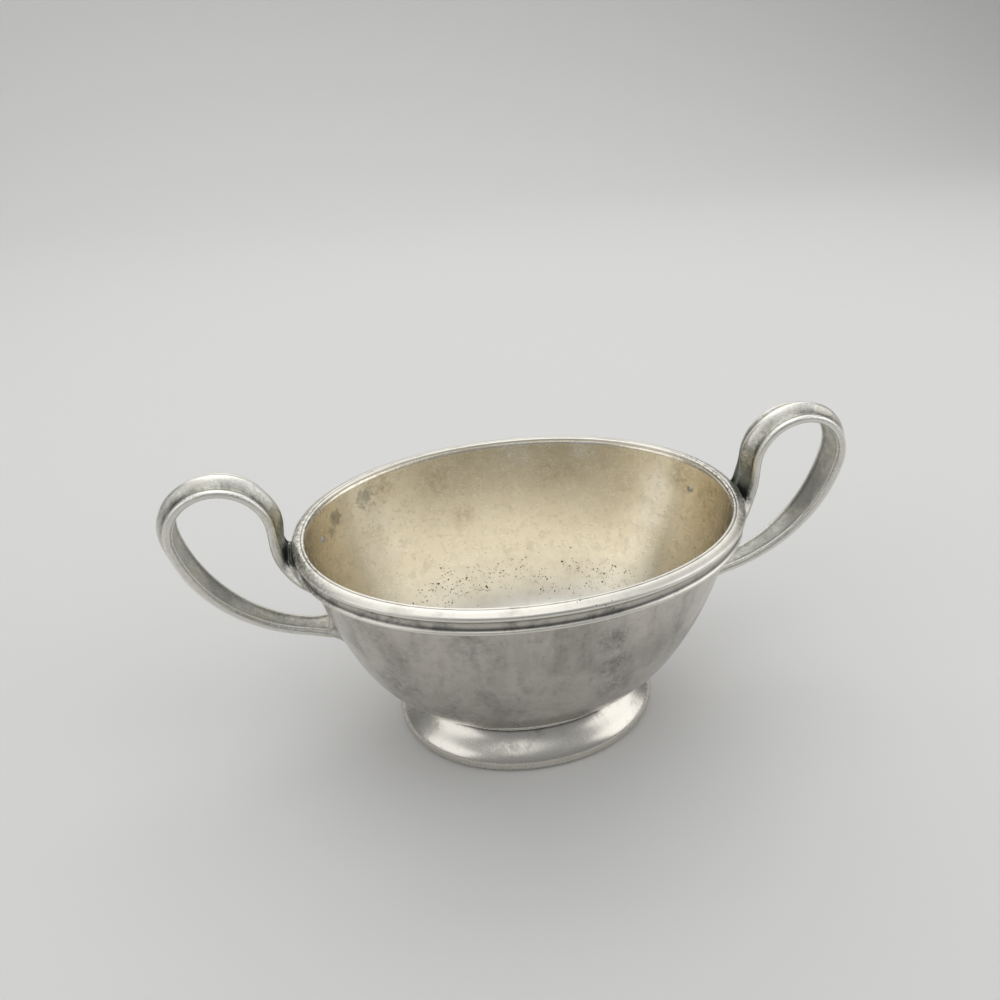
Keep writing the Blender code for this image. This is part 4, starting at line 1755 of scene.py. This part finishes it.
    def _strap(self, name: str, fitted: np.ndarray, marks: dict[Trace, np.ndarray]) -> bpy.types.Object:
        """Skin the fitted strap and store its traces.

        Args:
            name: The piece's name.
            fitted: The strap's points, one row a station.
            marks: What each point is.

        Returns:
            The handle as a closed mesh.
        """
        rows, count, _ = fitted.shape
        points = fitted.reshape(-1, 3)
        middle = fitted.mean(axis=1, keepdims=True)
        outward = (fitted - middle).reshape(-1, 3)
        outward /= np.maximum(np.linalg.norm(outward, axis=1, keepdims=True), 1e-6)
        points = uneven(points, outward, self.swell_depth, self.swell_span,
                        self.swell_seed + self.end.value)
        points = points * np.array((self.end.value, 1.0, 1.0))
        faces = skin_faces(rows, count, False)
        faces.append(tuple(range(count))[::-1])
        faces.append(tuple(range((rows - 1) * count, rows * count)))
        item = make_mesh(name, points, faces)
        mark(item.data, marks)
        point_outwards(item)
        return item

    def _solder(self, name: str, grid: np.ndarray, normals: np.ndarray, distance: np.ndarray,
                where: np.ndarray, away: float, climb: np.ndarray, spread: np.ndarray,
                depth: float) -> bpy.types.Object:
        """Fill the corner where the strap meets the bowl with a hollow fillet.

        Args:
            name: The piece's name.
            grid: The strap's points, one row a station.
            normals: The strap's outward directions.
            distance: Each station's distance.
            where: The distance at which each line meets the bowl.
            away: 1 if distance grows away from the bowl, and -1 if it shrinks.
            climb: How far the fillet climbs each line.
            spread: How far it spreads over the bowl there.
            depth: How far its hidden side reaches into the bowl.

        Returns:
            The fillet as a closed ring.
        """
        def read(values: np.ndarray, places: np.ndarray) -> np.ndarray:
            """Read rows of values at each line's own distance."""
            return np.array([[np.interp(place, distance, values[:, line, axis]) for axis in range(3)]
                             for line, place in enumerate(places)])

        def calm(values: np.ndarray) -> np.ndarray:
            """Even out values from line to line round the strap.

            Args:
                values: The values, one row a line.

            Returns:
                The evened values.
            """
            for _ in range(self.solder_calm):
                values = (np.roll(values, 1, axis=0) + 2.0 * values + np.roll(values, -1, axis=0)) / 4.0
            return values

        corner = self.skin.settle(read(grid, where))
        facing = calm(read(normals, where))
        facing /= np.maximum(np.linalg.norm(facing, axis=1, keepdims=True), 1e-9)
        high = calm(read(grid, where + away * calm(climb)) + self.solder_proud * facing)
        wall = self.skin.normals(corner)
        side = facing - np.sum(facing * wall, axis=1, keepdims=True) * wall
        side /= np.maximum(np.linalg.norm(side, axis=1, keepdims=True), 1e-9)
        toe = self.skin.settle(calm(corner + side * spread[:, None])) + self.solder_proud * wall
        hollow = corner + self.solder_flat * (0.5 * (high + toe) - corner)
        bury = corner - depth * wall - self.solder_tuck * side
        rings = []
        for share in np.linspace(0.0, 1.0, self.solder_rows + 1):
            rest = 1.0 - share
            rings.append(rest ** 2 * high + 2.0 * share * rest * hollow + share ** 2 * toe)
        rings.append(toe - depth * wall)
        rings.append(bury)
        rings.append(high - self.solder_sink * facing)
        ring = np.array(rings)
        points = ring.reshape(-1, 3)
        lift = np.repeat(facing[None], len(rings), axis=0).reshape(-1, 3)
        points = uneven(points, lift, self.solder_swell_depth, self.solder_swell_span,
                        self.solder_swell_seed + self.end.value)
        points = points * np.array((self.end.value, 1.0, 1.0))
        item = make_mesh(name, points, skin_faces(len(rings), len(where), True))
        point_outwards(item)
        return item

    def dress(self, handle: bpy.types.Object, fillets: list[bpy.types.Object], plate: bpy.types.Material,
              solder: bpy.types.Material) -> None:
        """Give the handle and its solder their finishes and set them on the frame.

        Args:
            handle: The strap.
            fillets: Its upper and lower solder.
            plate: The strap's finish.
            solder: The solder's finish.
        """
        word = self.end.name.lower()
        handle.data.materials.append(plate)
        settle(handle, Slot.HANDLE, f"{word}_handle")
        for fillet, place in zip(fillets, ("upper", "lower")):
            fillet.data.materials.append(solder)
            settle(fillet, Slot.SOLDER, f"{word}_{place}_solder")


@dataclass(frozen=True)
class SoftBox:
    """A soft white lamp: where it hangs, what it points at, its size and its power."""

    name: str
    place: tuple[float, float, float]
    aim: tuple[float, float, float]
    size: tuple[float, float]
    watts: float


@dataclass
class Studio:
    """A pale sweep to stand on, soft light and the camera."""

    camera_place: tuple[float, float, float] = (-39.547, -194.206, 187.510)
    azimuth: float = -9.935
    elevation: float = 30.951
    roll: float = -2.503
    lens: float = 31.72
    nearest: float = 10.0
    floor_half: float = 2600.0
    sweep_start: float = 620.0
    sweep_radius: float = 300.0
    sweep_steps: int = 24
    wall_height: float = 1300.0
    floor_colour: Colour = (0.72, 0.715, 0.70, 1.0)
    floor_roughness: float = 0.9
    floor_gloss: float = 0.1
    sky: Colour = (0.80, 0.82, 0.84, 1.0)
    ground: Colour = (0.30, 0.295, 0.29, 1.0)
    sky_strength: float = 0.46
    sky_span: tuple[float, float] = (-0.35, 0.9)
    lamps: tuple[SoftBox, ...] = (
        SoftBox("back_window", (60.0, 560.0, 640.0), (0.0, 0.0, 50.0), (1560.0, 700.0), 3.6),
        SoftBox("overhead", (-60.0, -40.0, 850.0), (0.0, 0.0, 40.0), (900.0, 740.0), 2.1),
        SoftBox("left_fill", (-640.0, -260.0, 420.0), (0.0, 0.0, 40.0), (600.0, 560.0), 1.0),
        SoftBox("right_fill", (660.0, -180.0, 380.0), (0.0, 0.0, 40.0), (620.0, 560.0), 1.3),
    )

    def floor(self) -> None:
        """Lay a pale floor that curves up into a backdrop."""
        bend = arc((self.sweep_start, self.sweep_radius), self.sweep_radius, -90.0, 0.0,
                   self.sweep_steps)
        profile = [(-self.floor_half, 0.0)] + bend + [(bend[-1][0], self.wall_height)]
        points = [(side * self.floor_half, y, z) for y, z in profile for side in (-1.0, 1.0)]
        faces = [(2 * row, 2 * row + 1, 2 * row + 3, 2 * row + 2) for row in range(len(profile) - 1)]
        item = make_mesh("pale_floor", np.array(points), faces)
        material = bpy.data.materials.new("pale_paper")
        material.use_nodes = True
        shader = material.node_tree.nodes["Principled BSDF"]
        shader.inputs["Base Color"].default_value = self.floor_colour
        shader.inputs["Roughness"].default_value = self.floor_roughness
        shader.inputs["Specular IOR Level"].default_value = self.floor_gloss
        item.data.materials.append(material)

    def light(self) -> None:
        """Hang the lamps and give the world a soft gradient from floor to ceiling."""
        for lamp in self.lamps:
            data = bpy.data.lights.new(lamp.name, "AREA")
            data.shape = "RECTANGLE"
            data.size, data.size_y = (side * MM for side in lamp.size)
            data.energy = lamp.watts
            item = bpy.data.objects.new(lamp.name, data)
            bpy.context.scene.collection.objects.link(item)
            place = Vector(lamp.place) * MM
            aim = Vector(lamp.aim) * MM
            turn = (place - aim).to_track_quat("Z", "Y")
            item.matrix_world = Matrix.LocRotScale(place, turn, None)
        world = bpy.data.worlds.new("studio")
        bpy.context.scene.world = world
        world.use_nodes = True
        nodes = world.node_tree.nodes
        links = world.node_tree.links
        parts = nodes.new("ShaderNodeSeparateXYZ")
        links.new(nodes.new("ShaderNodeTexCoord").outputs["Generated"], parts.inputs[0])
        share = nodes.new("ShaderNodeMapRange")
        links.new(parts.outputs[2], share.inputs["Value"])
        share.inputs["From Min"].default_value, share.inputs["From Max"].default_value = self.sky_span
        blend = nodes.new("ShaderNodeMix")
        blend.data_type = "RGBA"
        links.new(share.outputs[0], blend.inputs[0])
        blend.inputs[6].default_value = self.ground
        blend.inputs[7].default_value = self.sky
        links.new(blend.outputs[2], nodes["Background"].inputs["Color"])
        nodes["Background"].inputs["Strength"].default_value = self.sky_strength

    def camera(self) -> None:
        """Stand the camera at the photograph's place, turned and tilted as it was."""
        azimuth, elevation, roll = (math.radians(x) for x in (self.azimuth, self.elevation, self.roll))
        back = Vector((math.sin(azimuth) * math.cos(elevation), -math.cos(azimuth) * math.cos(elevation),
                       math.sin(elevation)))
        level = Vector((math.cos(azimuth), math.sin(azimuth), 0.0))
        upright = back.cross(level)
        right = level * math.cos(roll) + upright * math.sin(roll)
        up = upright * math.cos(roll) - level * math.sin(roll)
        data = bpy.data.cameras.new("camera")
        data.lens = self.lens
        data.clip_start = self.nearest * MM
        item = bpy.data.objects.new("camera", data)
        bpy.context.scene.collection.objects.link(item)
        turn = Matrix((right, up, back)).transposed().to_4x4()
        item.matrix_world = Matrix.Translation(Vector(self.camera_place) * MM) @ turn
        bpy.context.scene.camera = item


def main() -> None:
    """Dress every piece of the bowl and light it."""
    logging.basicConfig(level=logging.INFO, format="%(name)s: %(message)s")
    for item in list(bpy.data.objects):
        bpy.data.objects.remove(item)
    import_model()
    body, rim_box, foot_box = (frame_box(node) for node in ("bowl_body", "rim_band", "foot_ring"))
    plan = OvalPlan()
    curve = WallCurve(plan, body.low.z, body.high.z, Halves(body.high.x, body.high.y))
    rim_halves = Halves(rim_box.high.x, rim_box.high.y)
    tree = MouldingTree()
    bowl = DrawnBowl(curve)
    bowl.dress(bowl.build())
    rim = MouldedRim(curve, rim_halves, rim_box.high.z, rim_box.low.z)
    rim.dress(*rim.build(tree))
    foot = SpreadingFoot(curve, Halves(foot_box.high.x, foot_box.high.y))
    foot.dress(*foot.build(tree))
    skin = BowlSkin(curve, rim_halves, rim_box.low.z, rim_box.high.z)
    plate = StrapFinish().material()
    solder = SolderFinish("handle_solder").material()
    for end in End:
        handle = StrapHandle(end, skin, frame_box(f"{end.name.lower()}_handle").high.z)
        strap, fillets = handle.build()
        handle.dress(strap, fillets, plate, solder)
    studio = Studio()
    studio.floor()
    studio.light()
    studio.camera()
    bpy.context.scene.view_settings.view_transform = "Standard"


if __name__ == "__main__":
    main()
